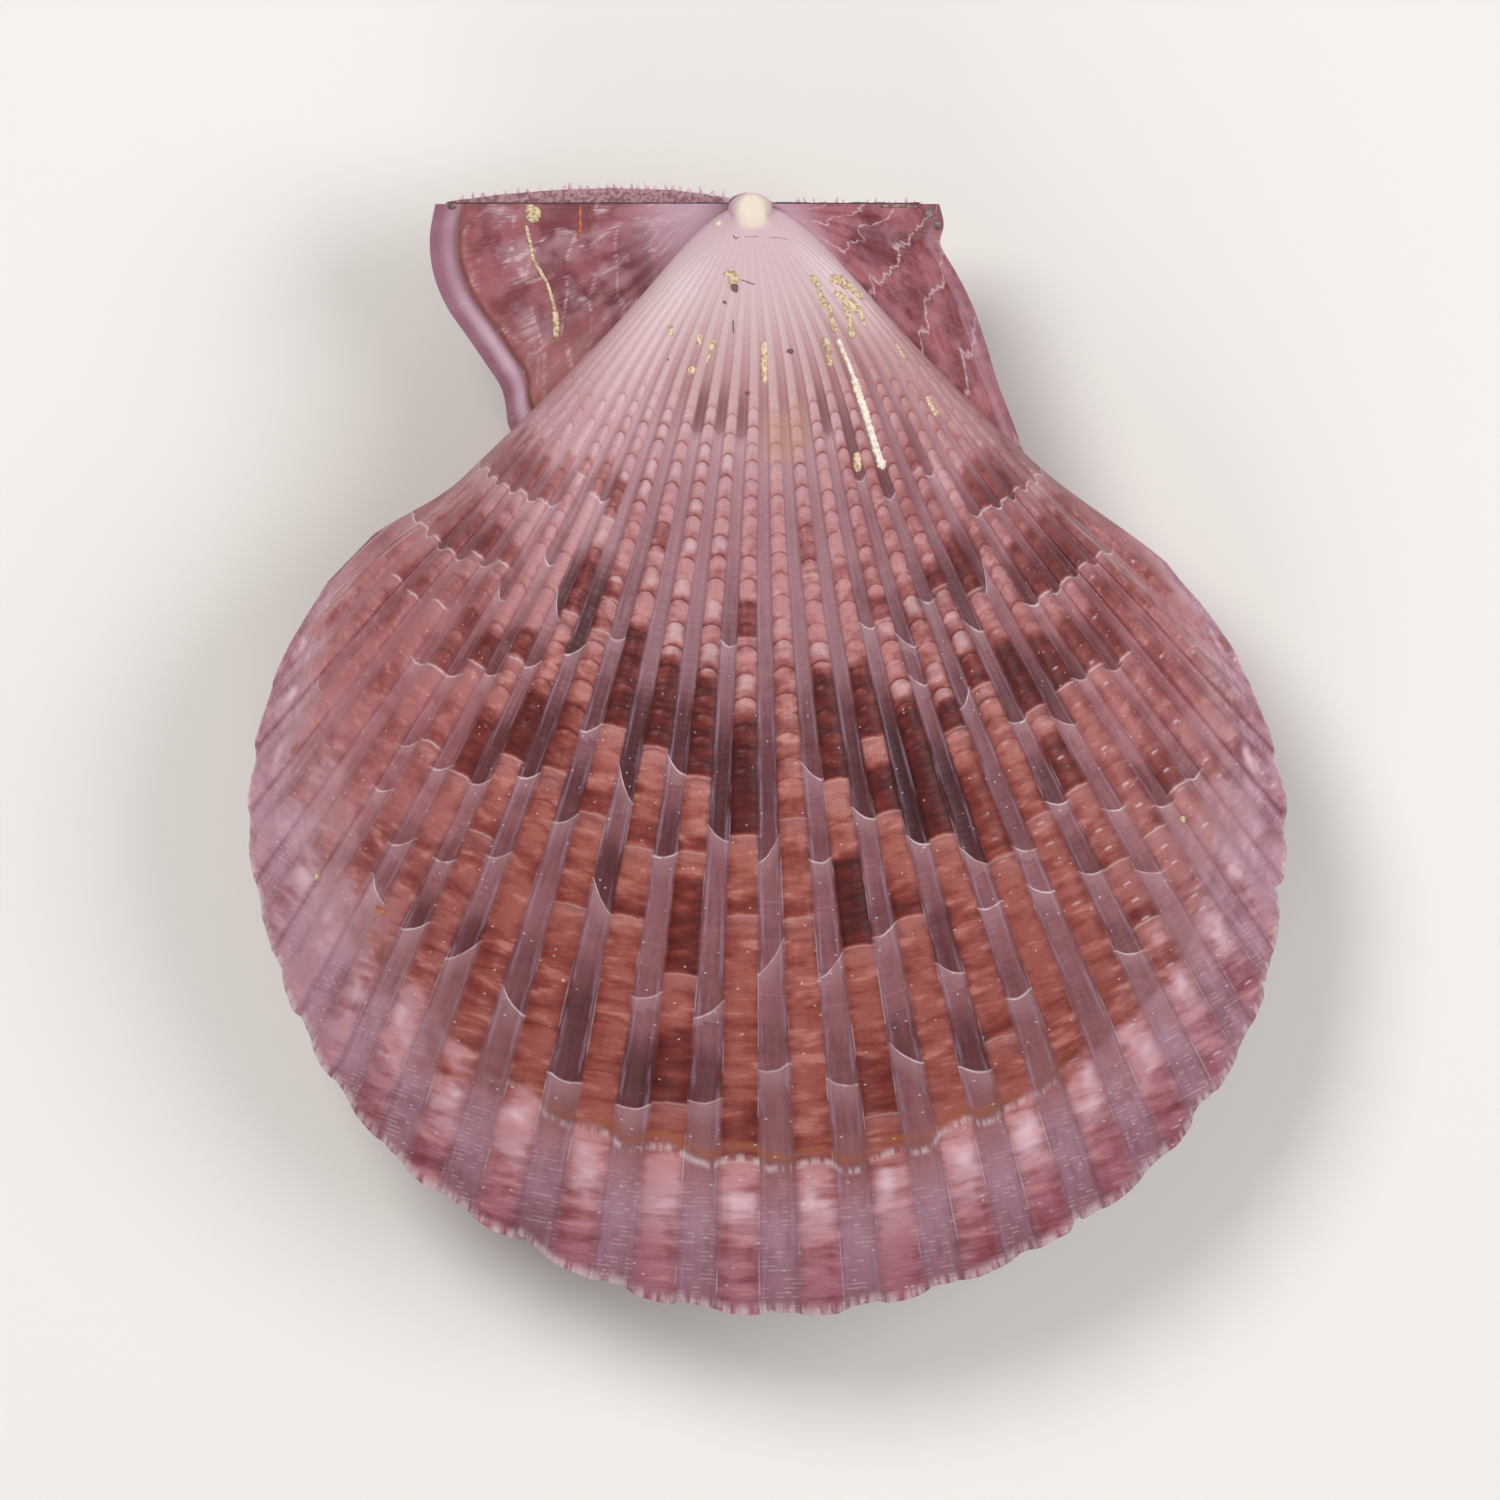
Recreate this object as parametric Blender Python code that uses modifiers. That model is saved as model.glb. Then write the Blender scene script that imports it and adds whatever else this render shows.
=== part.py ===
"""Glorious scallop shell: two closed valves and the dried ligament along their hinge.

Metres, +Z up. The shell lies on its right valve with the umbo towards +Y and the
anterior side towards -X, so the commissure, the seam between the valves, is level.
The origin is the middle of the shell's outline, on the surface that it rests on.

Each valve is a fan. A lane is a line that runs from the umbo to the margin, and lanes
are numbered by the ribs of the left valve. A stage is a growth stage, 0 at the umbo
and 1 at the margin.
"""
import math

import bmesh
import bpy

# Place of the umbo and of the commissure
UMBO_X = -0.00093
UMBO_Y = 0.02832
COMMISSURE_Z = 0.00915

# Disc outline: a circle below the umbo, fuller on the posterior side, flatter on the
# anterior one and cut in at the shoulders. Turns are in degrees from straight down.
DISC_RADIUS = 0.02685
DISC_DROP = 0.0307
DISC_SIDE = 0.0008
BULGE = 0.00105
BULGE_TURN = 55.0
BULGE_SPREAD = 27.0
FLAT = 0.0003
FLAT_TURN = -28.0
FLAT_SPREAD = 20.0
SHOULDER_TURN = 84.0
SHOULDER_SPAN = {-1: 40.0, 1: 36.0}
SHOULDER_CUT = {-1: 0.0022, 1: 0.0029}
SHOULDER_POWER = 1.6

# Lanes: the plan angle of each rib in degrees, from the anterior edge of the disc to
# the posterior one. The first and last angles are the disc's edges.
LANE_ANGLES = (-46.4, -44.2, -42.2, -39.9, -37.0, -33.4, -30.1, -26.5, -22.9, -18.7,
               -14.2, -9.6, -5.1, -0.65, 3.8, 8.1, 12.4, 16.5, 20.6, 24.7, 28.7, 32.5,
               35.9, 38.9, 41.5, 43.8, 45.7, 47.6)
FIRST_LANE = -13
LAST_LANE = 14
EDGE_REACH = {-1: 0.0260, 1: 0.0285}

# Lanes bow outwards near the umbo
BOW_MIDDLE = 3.0
BOW_SIDES = 8.6
BOW_FADE = 0.0119
BOW_POWER = 3.5

# The disc's edges spread towards the umbo, and flare again at the shoulders
SPREAD_ANGLE = {-1: 7.9, 1: 10.0}
SPREAD_START = {-1: 0.0050, 1: 0.0054}
SPREAD_FADE = {-1: 0.0029, 1: 0.0034}
FLARE_ANGLE = {-1: 2.4, 1: 1.7}
FLARE_START = {-1: 0.0205, 1: 0.0192}
FLARE_LENGTH = {-1: 0.0060, 1: 0.0093}
EDGE_INFLUENCE = 4.0

# Growth stages of the rows, with those where the ears end
NOTCH_DEEP = 0.27
NOTCH_ANTERIOR = 0.45
NOTCH_POSTERIOR = 0.50
STAGES = (0.02, 0.06, 0.12, 0.19, NOTCH_DEEP, 0.36, NOTCH_ANTERIOR, NOTCH_POSTERIOR,
          0.60, 0.70, 0.80, 0.88, 0.95, 1.0)
YOUNG_ROUNDNESS = 0.6

# Ears: margin from the disc to the hinge, as distances from the umbo
EAR_COLUMNS = 7
ANTERIOR_EAR = (0.0172, 0.0161, 0.0160, 0.0162, 0.0166, 0.0168, 0.0167, 0.0163)
NOTCHED_EAR = (0.0112, 0.0124, 0.0137, 0.0147, 0.0154, 0.0158, 0.0159, 0.0158)
POSTERIOR_EAR = (0.0191, 0.0160, 0.0141, 0.0126, 0.0112, 0.0101, 0.0101, 0.0098)

# Thickness and relief
VALVE_GAP = 0.0003
MARGIN_THICKNESS = 0.0005
UMBO_THICKNESS = 0.0010
WALL = 0.0006
RIB_RELIEF = 0.0007
CREST_HALF_WIDTH = 0.25
GROOVE_START = 0.36
EDGE_STEPS = (0.15, 0.4)
FLANK_LANES = 3.0
HINGE_RECESS = 0.0003
UMBO_RECESS_REACH = 0.004

# Dome of a valve
SIDE_POWER = 2.6
SIDE_ROUNDNESS = 0.62
CAVITY_SIDE = 0.94
CAVITY_START = 0.06
CAVITY_END = 0.97
UPPER_HEIGHT = 0.0098
UPPER_RISE = 0.5
UPPER_FALL = 1.9
LOWER_HEIGHT = 0.0086
LOWER_RISE = 0.75
LOWER_FALL = 2.0
LOWER_INSET = 0.0003

# Folded dorsal edge of the lower valve's notched ear
FOLD_WIDTH = 0.0009
FOLD_POWER = 0.7
FOLD_LEAN = 0.8
FOLD_SPAN = 0.97

# Beak: the tip of the umbo stands over the hinge line
BEAK_OVERHANG = 0.0005
BEAK_HEIGHT = 0.0031

# Ligament along the hinge
LIGAMENT_START = -0.0157
LIGAMENT_END = 0.0088
LIGAMENT_WIDTH = 0.0007
LIGAMENT_THICKNESS = 0.00024
LIGAMENT_PROUD = 0.00015
LIGAMENT_BEVEL = 0.00008

PURPLE_PINK = (0.42, 0.13, 0.17, 1.0)
PALE_PINK = (0.52, 0.22, 0.26, 1.0)
HORN_BROWN = (0.06, 0.03, 0.02, 1.0)

VALVES = {
    "left_valve": {
        "up": 1, "height": UPPER_HEIGHT, "rise": UPPER_RISE, "fall": UPPER_FALL,
        "inset": 0.0, "notch": NOTCH_ANTERIOR, "ear": ANTERIOR_EAR, "fold": 0.0,
        "color": PURPLE_PINK,
    },
    "right_valve": {
        "up": -1, "height": LOWER_HEIGHT, "rise": LOWER_RISE, "fall": LOWER_FALL,
        "inset": LOWER_INSET, "notch": NOTCH_DEEP, "ear": NOTCHED_EAR, "fold": FOLD_WIDTH,
        "color": PALE_PINK,
    },
}


def smoothstep(value):
    value = min(max(value, 0.0), 1.0)
    return value * value * (3.0 - 2.0 * value)


def read_even(values, place):
    """Read a list of evenly spaced values at a place from 0 to 1."""
    step = min(max(place, 0.0), 1.0) * (len(values) - 1)
    index = min(int(step), len(values) - 2)
    share = step - index
    return values[index] * (1.0 - share) + values[index + 1] * share


def lane_angle(lane):
    """Plan angle of a lane in degrees, 0 straight down from the umbo."""
    place = (lane - FIRST_LANE) / (LAST_LANE - FIRST_LANE)
    return read_even(LANE_ANGLES, place)


def bow(angle, reach):
    sides = BOW_SIDES * math.sin(math.radians(3.0 * angle))
    return (BOW_MIDDLE + sides) / (1.0 + (reach / BOW_FADE) ** BOW_POWER)


def edge_angle(side, reach):
    """Plan angle of the disc's edge on one side, at a distance from the umbo."""
    spread = SPREAD_ANGLE[side] * math.exp((SPREAD_START[side] - reach) / SPREAD_FADE[side])
    flare = FLARE_ANGLE[side] * smoothstep((reach - FLARE_START[side]) / FLARE_LENGTH[side])
    base = LANE_ANGLES[0] if side < 0 else LANE_ANGLES[-1]
    return base + side * (spread + flare)


def path_angle(lane, reach):
    """Plan angle of a lane at a distance from the umbo."""
    angle = lane_angle(lane)
    path = angle + bow(angle, reach)
    for side, edge in ((-1, LANE_ANGLES[0]), (1, LANE_ANGLES[-1])):
        shift = edge_angle(side, reach) - edge - bow(edge, reach)
        path += shift * math.exp(-abs(angle - edge) / EDGE_INFLUENCE)
    return path


def plan_point(angle, reach):
    """Plan place from the umbo, for an angle in degrees."""
    turn = math.radians(angle)
    return reach * math.sin(turn), -reach * math.cos(turn)


def outline_radius(turn):
    """Distance from the disc's centre to its outline, at a turn from straight down."""
    radius = DISC_RADIUS + BULGE * math.exp(-((turn - BULGE_TURN) / BULGE_SPREAD) ** 2)
    radius -= FLAT * math.exp(-((turn - FLAT_TURN) / FLAT_SPREAD) ** 2)
    side = -1 if turn < 0 else 1
    past = max(abs(turn) - SHOULDER_TURN, 0.0) / SHOULDER_SPAN[side]
    return radius - SHOULDER_CUT[side] * past ** SHOULDER_POWER


def is_outside(lane, reach):
    x, y = plan_point(path_angle(lane, reach), reach)
    across = x - DISC_SIDE
    down = -y - DISC_DROP
    turn = math.degrees(math.atan2(across, down))
    return math.hypot(across, down) > outline_radius(turn)


def margin_reach(lane):
    """Distance from the umbo to the disc's margin along a lane."""
    if lane == FIRST_LANE:
        return EDGE_REACH[-1]
    if lane == LAST_LANE:
        return EDGE_REACH[1]
    far = DISC_DROP + DISC_RADIUS + 2.0 * BULGE
    near = far
    while is_outside(lane, near) and near > EDGE_REACH[-1]:
        far = near
        near -= BULGE
    for _ in range(30):
        middle = (near + far) / 2.0
        if is_outside(lane, middle):
            far = middle
        else:
            near = middle
    return far


MIDDLE_REACH = margin_reach(0)


def stage_reach(full_reach, stage):
    """Distance from the umbo at a growth stage: young margins are rounder."""
    share = full_reach / MIDDLE_REACH
    return MIDDLE_REACH * stage * (1.0 - (1.0 - share) * stage ** YOUNG_ROUNDNESS)


def dome(side, reach, rise, fall):
    """Height of a dome from 0 to 1, over a side from -1 to 1 and a reach from 0 to 1."""
    side = min(abs(side), 1.0)
    reach = min(max(reach, 0.0), 1.0)
    top = (rise / (rise + fall)) ** (1.0 / fall)
    peak = top ** rise * (1.0 - top ** fall)
    across = (1.0 - side ** SIDE_POWER) ** SIDE_ROUNDNESS
    return across * reach ** rise * (1.0 - reach ** fall) / peak


def rib_wave(lane):
    """1 on the crest of a rib of the left valve, -1 in the groove beside it."""
    if lane < FIRST_LANE + 1 - GROOVE_START or lane > LAST_LANE - 1 + GROOVE_START:
        return -1.0
    distance = abs(lane - round(lane))
    flank = (GROOVE_START - distance) / (GROOVE_START - CREST_HALF_WIDTH)
    return 2.0 * min(max(flank, 0.0), 1.0) - 1.0


def rib_shift(lane, stage):
    """Rise or fall of both valves along a lane, from their interlocking ribs."""
    from_edge = min(lane - FIRST_LANE, LAST_LANE - lane)
    fade = smoothstep(from_edge / FLANK_LANES)
    return 0.5 * RIB_RELIEF * stage * fade * rib_wave(lane)


def side_of(lane):
    edge = LANE_ANGLES[0] if lane < 0 else LANE_ANGLES[-1]
    return lane_angle(lane) / abs(edge)


def column_layout():
    """The fan's columns from hinge end to hinge end, each a lane and an ear fraction.

    Also the indices of the columns that the smoother inside of a valve has.
    """
    fractions = [step / EAR_COLUMNS for step in range(1, EAR_COLUMNS + 1)]
    anterior_ear = [(FIRST_LANE, fraction) for fraction in reversed(fractions)]
    posterior_ear = [(LAST_LANE, fraction) for fraction in fractions]
    columns = anterior_ear + [(FIRST_LANE, 0.0)]
    inside = list(range(len(columns)))
    columns += [(FIRST_LANE + step, 0.0) for step in EDGE_STEPS]
    for rib in range(FIRST_LANE + 1, LAST_LANE):
        for offset in (-GROOVE_START, -CREST_HALF_WIDTH, CREST_HALF_WIDTH, GROOVE_START):
            columns.append((rib + offset, 0.0))
        inside.append(len(columns) - 1)
    columns += [(LAST_LANE - step, 0.0) for step in reversed(EDGE_STEPS)]
    inside += range(len(columns), len(columns) + 1 + len(posterior_ear))
    return columns + [(LAST_LANE, 0.0)] + posterior_ear, inside


COLUMNS, INSIDE_COLUMNS = column_layout()


def ear_margin(valve, side):
    return valve["ear"] if side < 0 else POSTERIOR_EAR


def last_row(valve, column):
    """Index of the last row of a column: an ear ends at its notch."""
    lane, ear = column
    if ear == 0.0:
        return len(STAGES) - 1
    return STAGES.index(valve["notch"] if lane == FIRST_LANE else NOTCH_POSTERIOR)


def place_on_fan(valve, column, stage):
    """Plan place from the umbo of a column at a growth stage."""
    lane, ear = column
    reach = stage_reach(margin_reach(lane) - valve["inset"], stage)
    angle = path_angle(lane, reach)
    if ear == 0.0:
        return plan_point(angle, reach)
    side = -1 if lane == FIRST_LANE else 1
    margin = ear_margin(valve, side)
    last = STAGES[last_row(valve, column)]
    edge = stage_reach(margin_reach(lane) - valve["inset"], last)
    share = reach / edge
    angle += (side * 90.0 - angle) * ear
    x, y = plan_point(angle, share * read_even(margin, ear))
    if ear == 1.0 and side < 0:
        along = FOLD_SPAN * share ** FOLD_LEAN
        y += valve["fold"] * math.sin(math.pi * along) ** FOLD_POWER
    return x, y


def outer_height(valve, column, stage):
    """Height of a valve's outside over the commissure."""
    lane, ear = column
    thickness = MARGIN_THICKNESS + (UMBO_THICKNESS - MARGIN_THICKNESS) * (1.0 - stage)
    reach = stage_reach(margin_reach(lane), stage) / margin_reach(lane)
    height = VALVE_GAP / 2.0 + thickness
    if ear > 0.0:
        return height + HINGE_RECESS * ear
    return height + valve["height"] * dome(side_of(lane), reach, valve["rise"], valve["fall"])


def inner_height(valve, column, stage):
    """Height of a valve's inside over the commissure."""
    lane, ear = column
    full_reach = stage_reach(margin_reach(lane), stage)
    recess = max(ear * ear, 1.0 - full_reach / UMBO_RECESS_REACH)
    height = VALVE_GAP / 2.0 + HINGE_RECESS * recess
    if ear > 0.0:
        return height
    reach = (full_reach / margin_reach(lane) - CAVITY_START) / (CAVITY_END - CAVITY_START)
    depth = valve["height"] - WALL
    return height + depth * dome(side_of(lane) / CAVITY_SIDE, reach, valve["rise"], valve["fall"])


def fan_vertex(mesh, valve, column, stage, height, shift):
    x, y = place_on_fan(valve, column, stage)
    z = COMMISSURE_Z + valve["up"] * height + shift
    return mesh.verts.new((UMBO_X + x, UMBO_Y + y, max(z, 0.0)))


def add_outside(mesh, valve):
    """Vertices of a valve's outside, by column and row."""
    grid = {}
    for index, column in enumerate(COLUMNS):
        for row in range(last_row(valve, column) + 1):
            stage = STAGES[row]
            height = outer_height(valve, column, stage)
            shift = 0.0 if column[1] else rib_shift(column[0], stage)
            grid[index, row] = fan_vertex(mesh, valve, column, stage, height, shift)
    return grid


def add_inside(mesh, valve):
    """Vertices of a valve's inside, with every column only along the margin."""
    grid = {}
    for index, column in enumerate(COLUMNS):
        last = last_row(valve, column)
        for row in range(0 if index in INSIDE_COLUMNS else last, last + 1):
            stage = STAGES[row]
            height = inner_height(valve, column, stage)
            at_margin = row == len(STAGES) - 1
            shift = rib_shift(column[0], stage) if at_margin else 0.0
            grid[index, row] = fan_vertex(mesh, valve, column, stage, height, shift)
    return grid


def fill_fan(mesh, valve, grid, columns, tip):
    """Faces between neighbouring columns, from the umbo to their last shared row."""
    for left, right in zip(columns, columns[1:]):
        mesh.faces.new((tip, grid[left, 0], grid[right, 0]))
        shared = min(last_row(valve, COLUMNS[left]), last_row(valve, COLUMNS[right]))
        for row in range(shared):
            if row + 1 == len(STAGES) - 1 and right - left > 1:
                fill_margin_strip(mesh, grid, left, right, row)
            else:
                mesh.faces.new((grid[left, row], grid[left, row + 1],
                                grid[right, row + 1], grid[right, row]))


def fill_margin_strip(mesh, grid, left, right, row):
    """Join two smooth inner columns to the ribbed margin between them."""
    middle = (left + right) // 2
    for index in range(left, middle):
        mesh.faces.new((grid[left, row], grid[index, row + 1], grid[index + 1, row + 1]))
    mesh.faces.new((grid[left, row], grid[middle, row + 1], grid[right, row]))
    for index in range(middle, right):
        mesh.faces.new((grid[right, row], grid[index, row + 1], grid[index + 1, row + 1]))


def rim_keys(valve):
    """Keys of the valve's edge from hinge end to hinge end, by way of the margin."""
    first_disc = EAR_COLUMNS
    last_disc = len(COLUMNS) - 1 - EAR_COLUMNS
    bottom = len(STAGES) - 1
    notch = last_row(valve, COLUMNS[0])
    far_notch = last_row(valve, COLUMNS[-1])
    keys = [(0, row) for row in range(notch + 1)]
    keys += [(index, notch) for index in range(1, first_disc + 1)]
    keys += [(first_disc, row) for row in range(notch + 1, bottom + 1)]
    keys += [(index, bottom) for index in range(first_disc + 1, last_disc + 1)]
    keys += [(last_disc, row) for row in range(bottom - 1, far_notch - 1, -1)]
    keys += [(index, far_notch) for index in range(last_disc + 1, len(COLUMNS))]
    keys += [(len(COLUMNS) - 1, row) for row in range(far_notch - 1, -1, -1)]
    return keys


def fill_rim(mesh, valve, outside, inside, outer_tip, inner_tip):
    """Edge wall between the outside and the inside, closed at the umbo."""
    keys = rim_keys(valve)
    outer = [outer_tip] + [outside[key] for key in keys] + [outer_tip]
    inner = [inner_tip] + [inside[key] for key in keys] + [inner_tip]
    for index in range(len(outer) - 1):
        mesh.faces.new((outer[index], outer[index + 1], inner[index + 1], inner[index]))


def new_material(name, color):
    material = bpy.data.materials.new(name)
    material.use_nodes = True
    shader = material.node_tree.nodes["Principled BSDF"]
    shader.inputs["Base Color"].default_value = color
    shader.inputs["Roughness"].default_value = 0.45
    shader.inputs["Metallic"].default_value = 0.0
    return material


def make_valve(name, collection):
    """One valve: ribbed outside and smoother inside, lofted to each other at the edge.

    The wall is thick at the umbo, thin at the margin and smooth where the outside is
    ribbed, so it isn't an even offset of one surface.
    """
    valve = VALVES[name]
    mesh = bmesh.new()
    outside = add_outside(mesh, valve)
    inside = add_inside(mesh, valve)
    hinge = VALVE_GAP / 2.0 + HINGE_RECESS
    outer_tip = mesh.verts.new((UMBO_X, UMBO_Y + BEAK_OVERHANG,
                                COMMISSURE_Z + valve["up"] * BEAK_HEIGHT))
    inner_tip = mesh.verts.new((UMBO_X, UMBO_Y, COMMISSURE_Z + valve["up"] * hinge))
    fill_fan(mesh, valve, outside, range(len(COLUMNS)), outer_tip)
    fill_fan(mesh, valve, inside, INSIDE_COLUMNS, inner_tip)
    fill_rim(mesh, valve, outside, inside, outer_tip, inner_tip)
    bmesh.ops.triangulate(mesh, faces=mesh.faces[:])
    bmesh.ops.recalc_face_normals(mesh, faces=mesh.faces[:])
    data = bpy.data.meshes.new(name)
    mesh.to_mesh(data)
    mesh.free()
    data.materials.append(new_material(name, valve["color"]))
    data.shade_smooth()
    data.set_sharp_from_angle(angle=math.radians(50.0))
    collection.objects.link(bpy.data.objects.new(name, data))


def make_ligament(collection):
    """The dark dried strip of ligament between the two hinge edges."""
    length = LIGAMENT_END - LIGAMENT_START
    bpy.ops.mesh.primitive_cube_add(size=1.0)
    strip = bpy.context.active_object
    strip.name = "hinge_ligament"
    strip.data.name = strip.name
    strip.scale = (length, LIGAMENT_WIDTH, LIGAMENT_THICKNESS)
    strip.location = (UMBO_X + LIGAMENT_START + length / 2.0,
                      UMBO_Y + LIGAMENT_PROUD - LIGAMENT_WIDTH / 2.0,
                      COMMISSURE_Z)
    bpy.ops.object.transform_apply(location=False, rotation=False, scale=True)
    bevel = strip.modifiers.new("rounded_edges", "BEVEL")
    bevel.width = LIGAMENT_BEVEL
    bevel.segments = 2
    strip.data.materials.append(new_material("ligament", HORN_BROWN))
    for owner in list(strip.users_collection):
        owner.objects.unlink(strip)
    collection.objects.link(strip)


def main():
    for thing in list(bpy.data.objects):
        bpy.data.objects.remove(thing, do_unlink=True)
    shell = bpy.data.collections.new("glorious_scallop_shell")
    bpy.context.scene.collection.children.link(shell)
    for name in VALVES:
        make_valve(name, shell)
    make_ligament(shell)


main()
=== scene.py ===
"""Looks of the glorious scallop shell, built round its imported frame.

Metres, +Z up, in the part's own frame: the umbo is towards +Y and the anterior side
towards -X. Growth along a rib is written in millimetres from the umbo where a mark of
the pattern is placed. A lane is a line from the umbo to the margin, numbered by ribs.
"""
import math
from types import SimpleNamespace

import bmesh
import bpy
import numpy as np
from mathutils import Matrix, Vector
from mathutils.bvhtree import BVHTree

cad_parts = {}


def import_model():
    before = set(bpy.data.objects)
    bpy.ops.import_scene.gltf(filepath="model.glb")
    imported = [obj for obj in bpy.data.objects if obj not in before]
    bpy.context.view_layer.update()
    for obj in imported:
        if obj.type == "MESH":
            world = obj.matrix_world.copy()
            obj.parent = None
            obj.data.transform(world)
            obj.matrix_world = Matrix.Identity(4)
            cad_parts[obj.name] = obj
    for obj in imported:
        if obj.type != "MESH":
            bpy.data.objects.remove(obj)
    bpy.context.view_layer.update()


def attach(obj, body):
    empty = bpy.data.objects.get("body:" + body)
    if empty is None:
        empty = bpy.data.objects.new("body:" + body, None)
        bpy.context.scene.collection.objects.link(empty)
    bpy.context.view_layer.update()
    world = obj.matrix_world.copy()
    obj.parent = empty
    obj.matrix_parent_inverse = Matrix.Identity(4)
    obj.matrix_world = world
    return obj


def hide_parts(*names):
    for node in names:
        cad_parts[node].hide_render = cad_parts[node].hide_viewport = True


MM = 0.001

# The photograph: how much it shows, and where its middle is on the shell
VIEW_WIDTH = 0.07788
VIEW_X = -0.00093
VIEW_Y = 0.00002
LENS = 300.0
SENSOR = 36.0
CLIP = (0.01, 10.0)

# Place of the umbo and of the commissure, as in the part
UMBO_X = -0.00093
UMBO_Y = 0.02832
COMMISSURE_Z = 0.00915

# Disc outline, as in the part
DISC_RADIUS = 0.02685
DISC_DROP = 0.0307
DISC_SIDE = 0.0008
BULGE = 0.00105
BULGE_TURN = 55.0
BULGE_SPREAD = 27.0
FLAT = 0.0003
FLAT_TURN = -28.0
FLAT_SPREAD = 20.0
SHOULDER_TURN = 84.0
SHOULDER_SPAN = (40.0, 36.0)
SHOULDER_CUT = (0.0022, 0.0029)
SHOULDER_POWER = 1.6

# Lanes, as in the part
LANE_ANGLES = (-46.4, -44.2, -42.2, -39.9, -37.0, -33.4, -30.1, -26.5, -22.9, -18.7,
               -14.2, -9.6, -5.1, -0.65, 3.8, 8.1, 12.4, 16.5, 20.6, 24.7, 28.7, 32.5,
               35.9, 38.9, 41.5, 43.8, 45.7, 47.6)
FIRST_LANE = -13
LAST_LANE = 14
LANES = np.arange(FIRST_LANE, LAST_LANE + 1)
EDGE_REACH = (0.0260, 0.0285)
BOW_MIDDLE = 3.0
BOW_SIDES = 8.6
BOW_FADE = 0.0119
BOW_POWER = 3.5
SPREAD_ANGLE = (7.9, 10.0)
SPREAD_START = (0.0050, 0.0054)
SPREAD_FADE = (0.0029, 0.0034)
FLARE_ANGLE = (2.4, 1.7)
FLARE_START = (0.0205, 0.0192)
FLARE_LENGTH = (0.0060, 0.0093)
EDGE_INFLUENCE = 4.0
MARGIN_SEARCHES = 40
MARGIN_HALVINGS = 30

# Growth stages where the ears end, as in the part
NOTCH_DEEP = 0.27
NOTCH_ANTERIOR = 0.45
NOTCH_POSTERIOR = 0.50
YOUNG_ROUNDNESS = 0.6
ANTERIOR_EAR = (0.0172, 0.0161, 0.0160, 0.0162, 0.0166, 0.0168, 0.0167, 0.0163)
NOTCHED_EAR = (0.0112, 0.0124, 0.0137, 0.0147, 0.0154, 0.0158, 0.0159, 0.0158)
POSTERIOR_EAR = (0.0191, 0.0160, 0.0141, 0.0126, 0.0112, 0.0101, 0.0101, 0.0098)

# Thickness, relief and dome, as in the part
VALVE_GAP = 0.0003
MARGIN_THICKNESS = 0.0005
UMBO_THICKNESS = 0.0010
WALL = 0.0006
RIB_RELIEF = 0.0007
FLANK_LANES = 3.0
HINGE_RECESS = 0.0003
UMBO_RECESS_REACH = 0.004
SIDE_POWER = 2.6
SIDE_ROUNDNESS = 0.62
CAVITY_SIDE = 0.94
CAVITY_START = 0.06
CAVITY_END = 0.97
LOWER_INSET = 0.0003
FOLD_WIDTH = 0.0009
FOLD_POWER = 0.7
FOLD_LEAN = 0.8
FOLD_SPAN = 0.97
FOLD_START = 6.0 / 7.0
BEAK_OVERHANG = 0.0005
BEAK_HEIGHT = 0.0031
BEAK_STAGE = 0.021

LIGAMENT_START = -0.0157
LIGAMENT_END = 0.0088
LIGAMENT_WIDTH = 0.0007
LIGAMENT_THICKNESS = 0.00024
LIGAMENT_PROUD = 0.00015
LIGAMENT_SECTIONS = 80
LIGAMENT_POINTS = 10

# Fine relief: the margin's scallops and chips, the disc's and the ears' unevenness
MARGIN_SCALLOPS = 0.00020
MARGIN_WAVES = 0.00012
MARGIN_ROUGHNESS = 0.00006
MARGIN_BITES = 0.00030
SLOW_RELIEF = 0.00006
FINE_RELIEF = 0.00003
RIBLET_HEIGHT = 0.00006
EAR_FOLD_HEIGHT = 0.00007
EAR_LINE_RISE = 0.00012
EAR_BAND_DROP = 0.00016

# Size of the tables of random values that unevenness is read from
GRAIN_TABLE = 128

# Mesh density of a valve
RIB_OFFSETS = (-0.50, -0.40, -0.34, -0.29, -0.24, -0.18, -0.10, 0.0, 0.10, 0.18, 0.24,
               0.29, 0.34, 0.40)
EDGE_OFFSETS = (0.0, 0.17, 0.33)
EAR_STEPS = 34
OUTER_ROWS = 214
INNER_ROW_STEP = 11
FIRST_STAGE = 0.003
LEG_LENGTH = 1e4
PATH_END = 1e6
VALVE_SMOOTH_ANGLE = 50.0
SMALL_SMOOTH_ANGLE = 60.0

# Rib profile in lanes: flat to the shoulder, then down to the foot
CREST_SHOULDER = 0.20
CREST_FOOT = 0.39
CREST_ROUNDING = 0.22
RIB_EDGE = 0.28
YOUNG_NARROWING = 0.035
OLD_NARROWING = 0.025

# The growth check, a ledge that runs round the shell near its margin
CHECK_STAGE = 0.852
CHECK_SIDE_DELAY = 0.030
CHECK_GROOVE_DELAY = 0.010
CHECK_WIDTH = 0.004
CHECK_DROP = 0.00012
EAR_LINE = 0.912
EAR_RIBLETS = 6.0

# The worn knob of the umbo and an olive stain, in millimetres from the umbo and in lanes
KNOB_X = 0.12
KNOB_Y = -0.45
KNOB_WIDTH = 1.05
KNOB_LENGTH = 1.1
STAIN_LANES = (0.3, 2.7)
STAIN_REACH = (10.9, 13.8)

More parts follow.
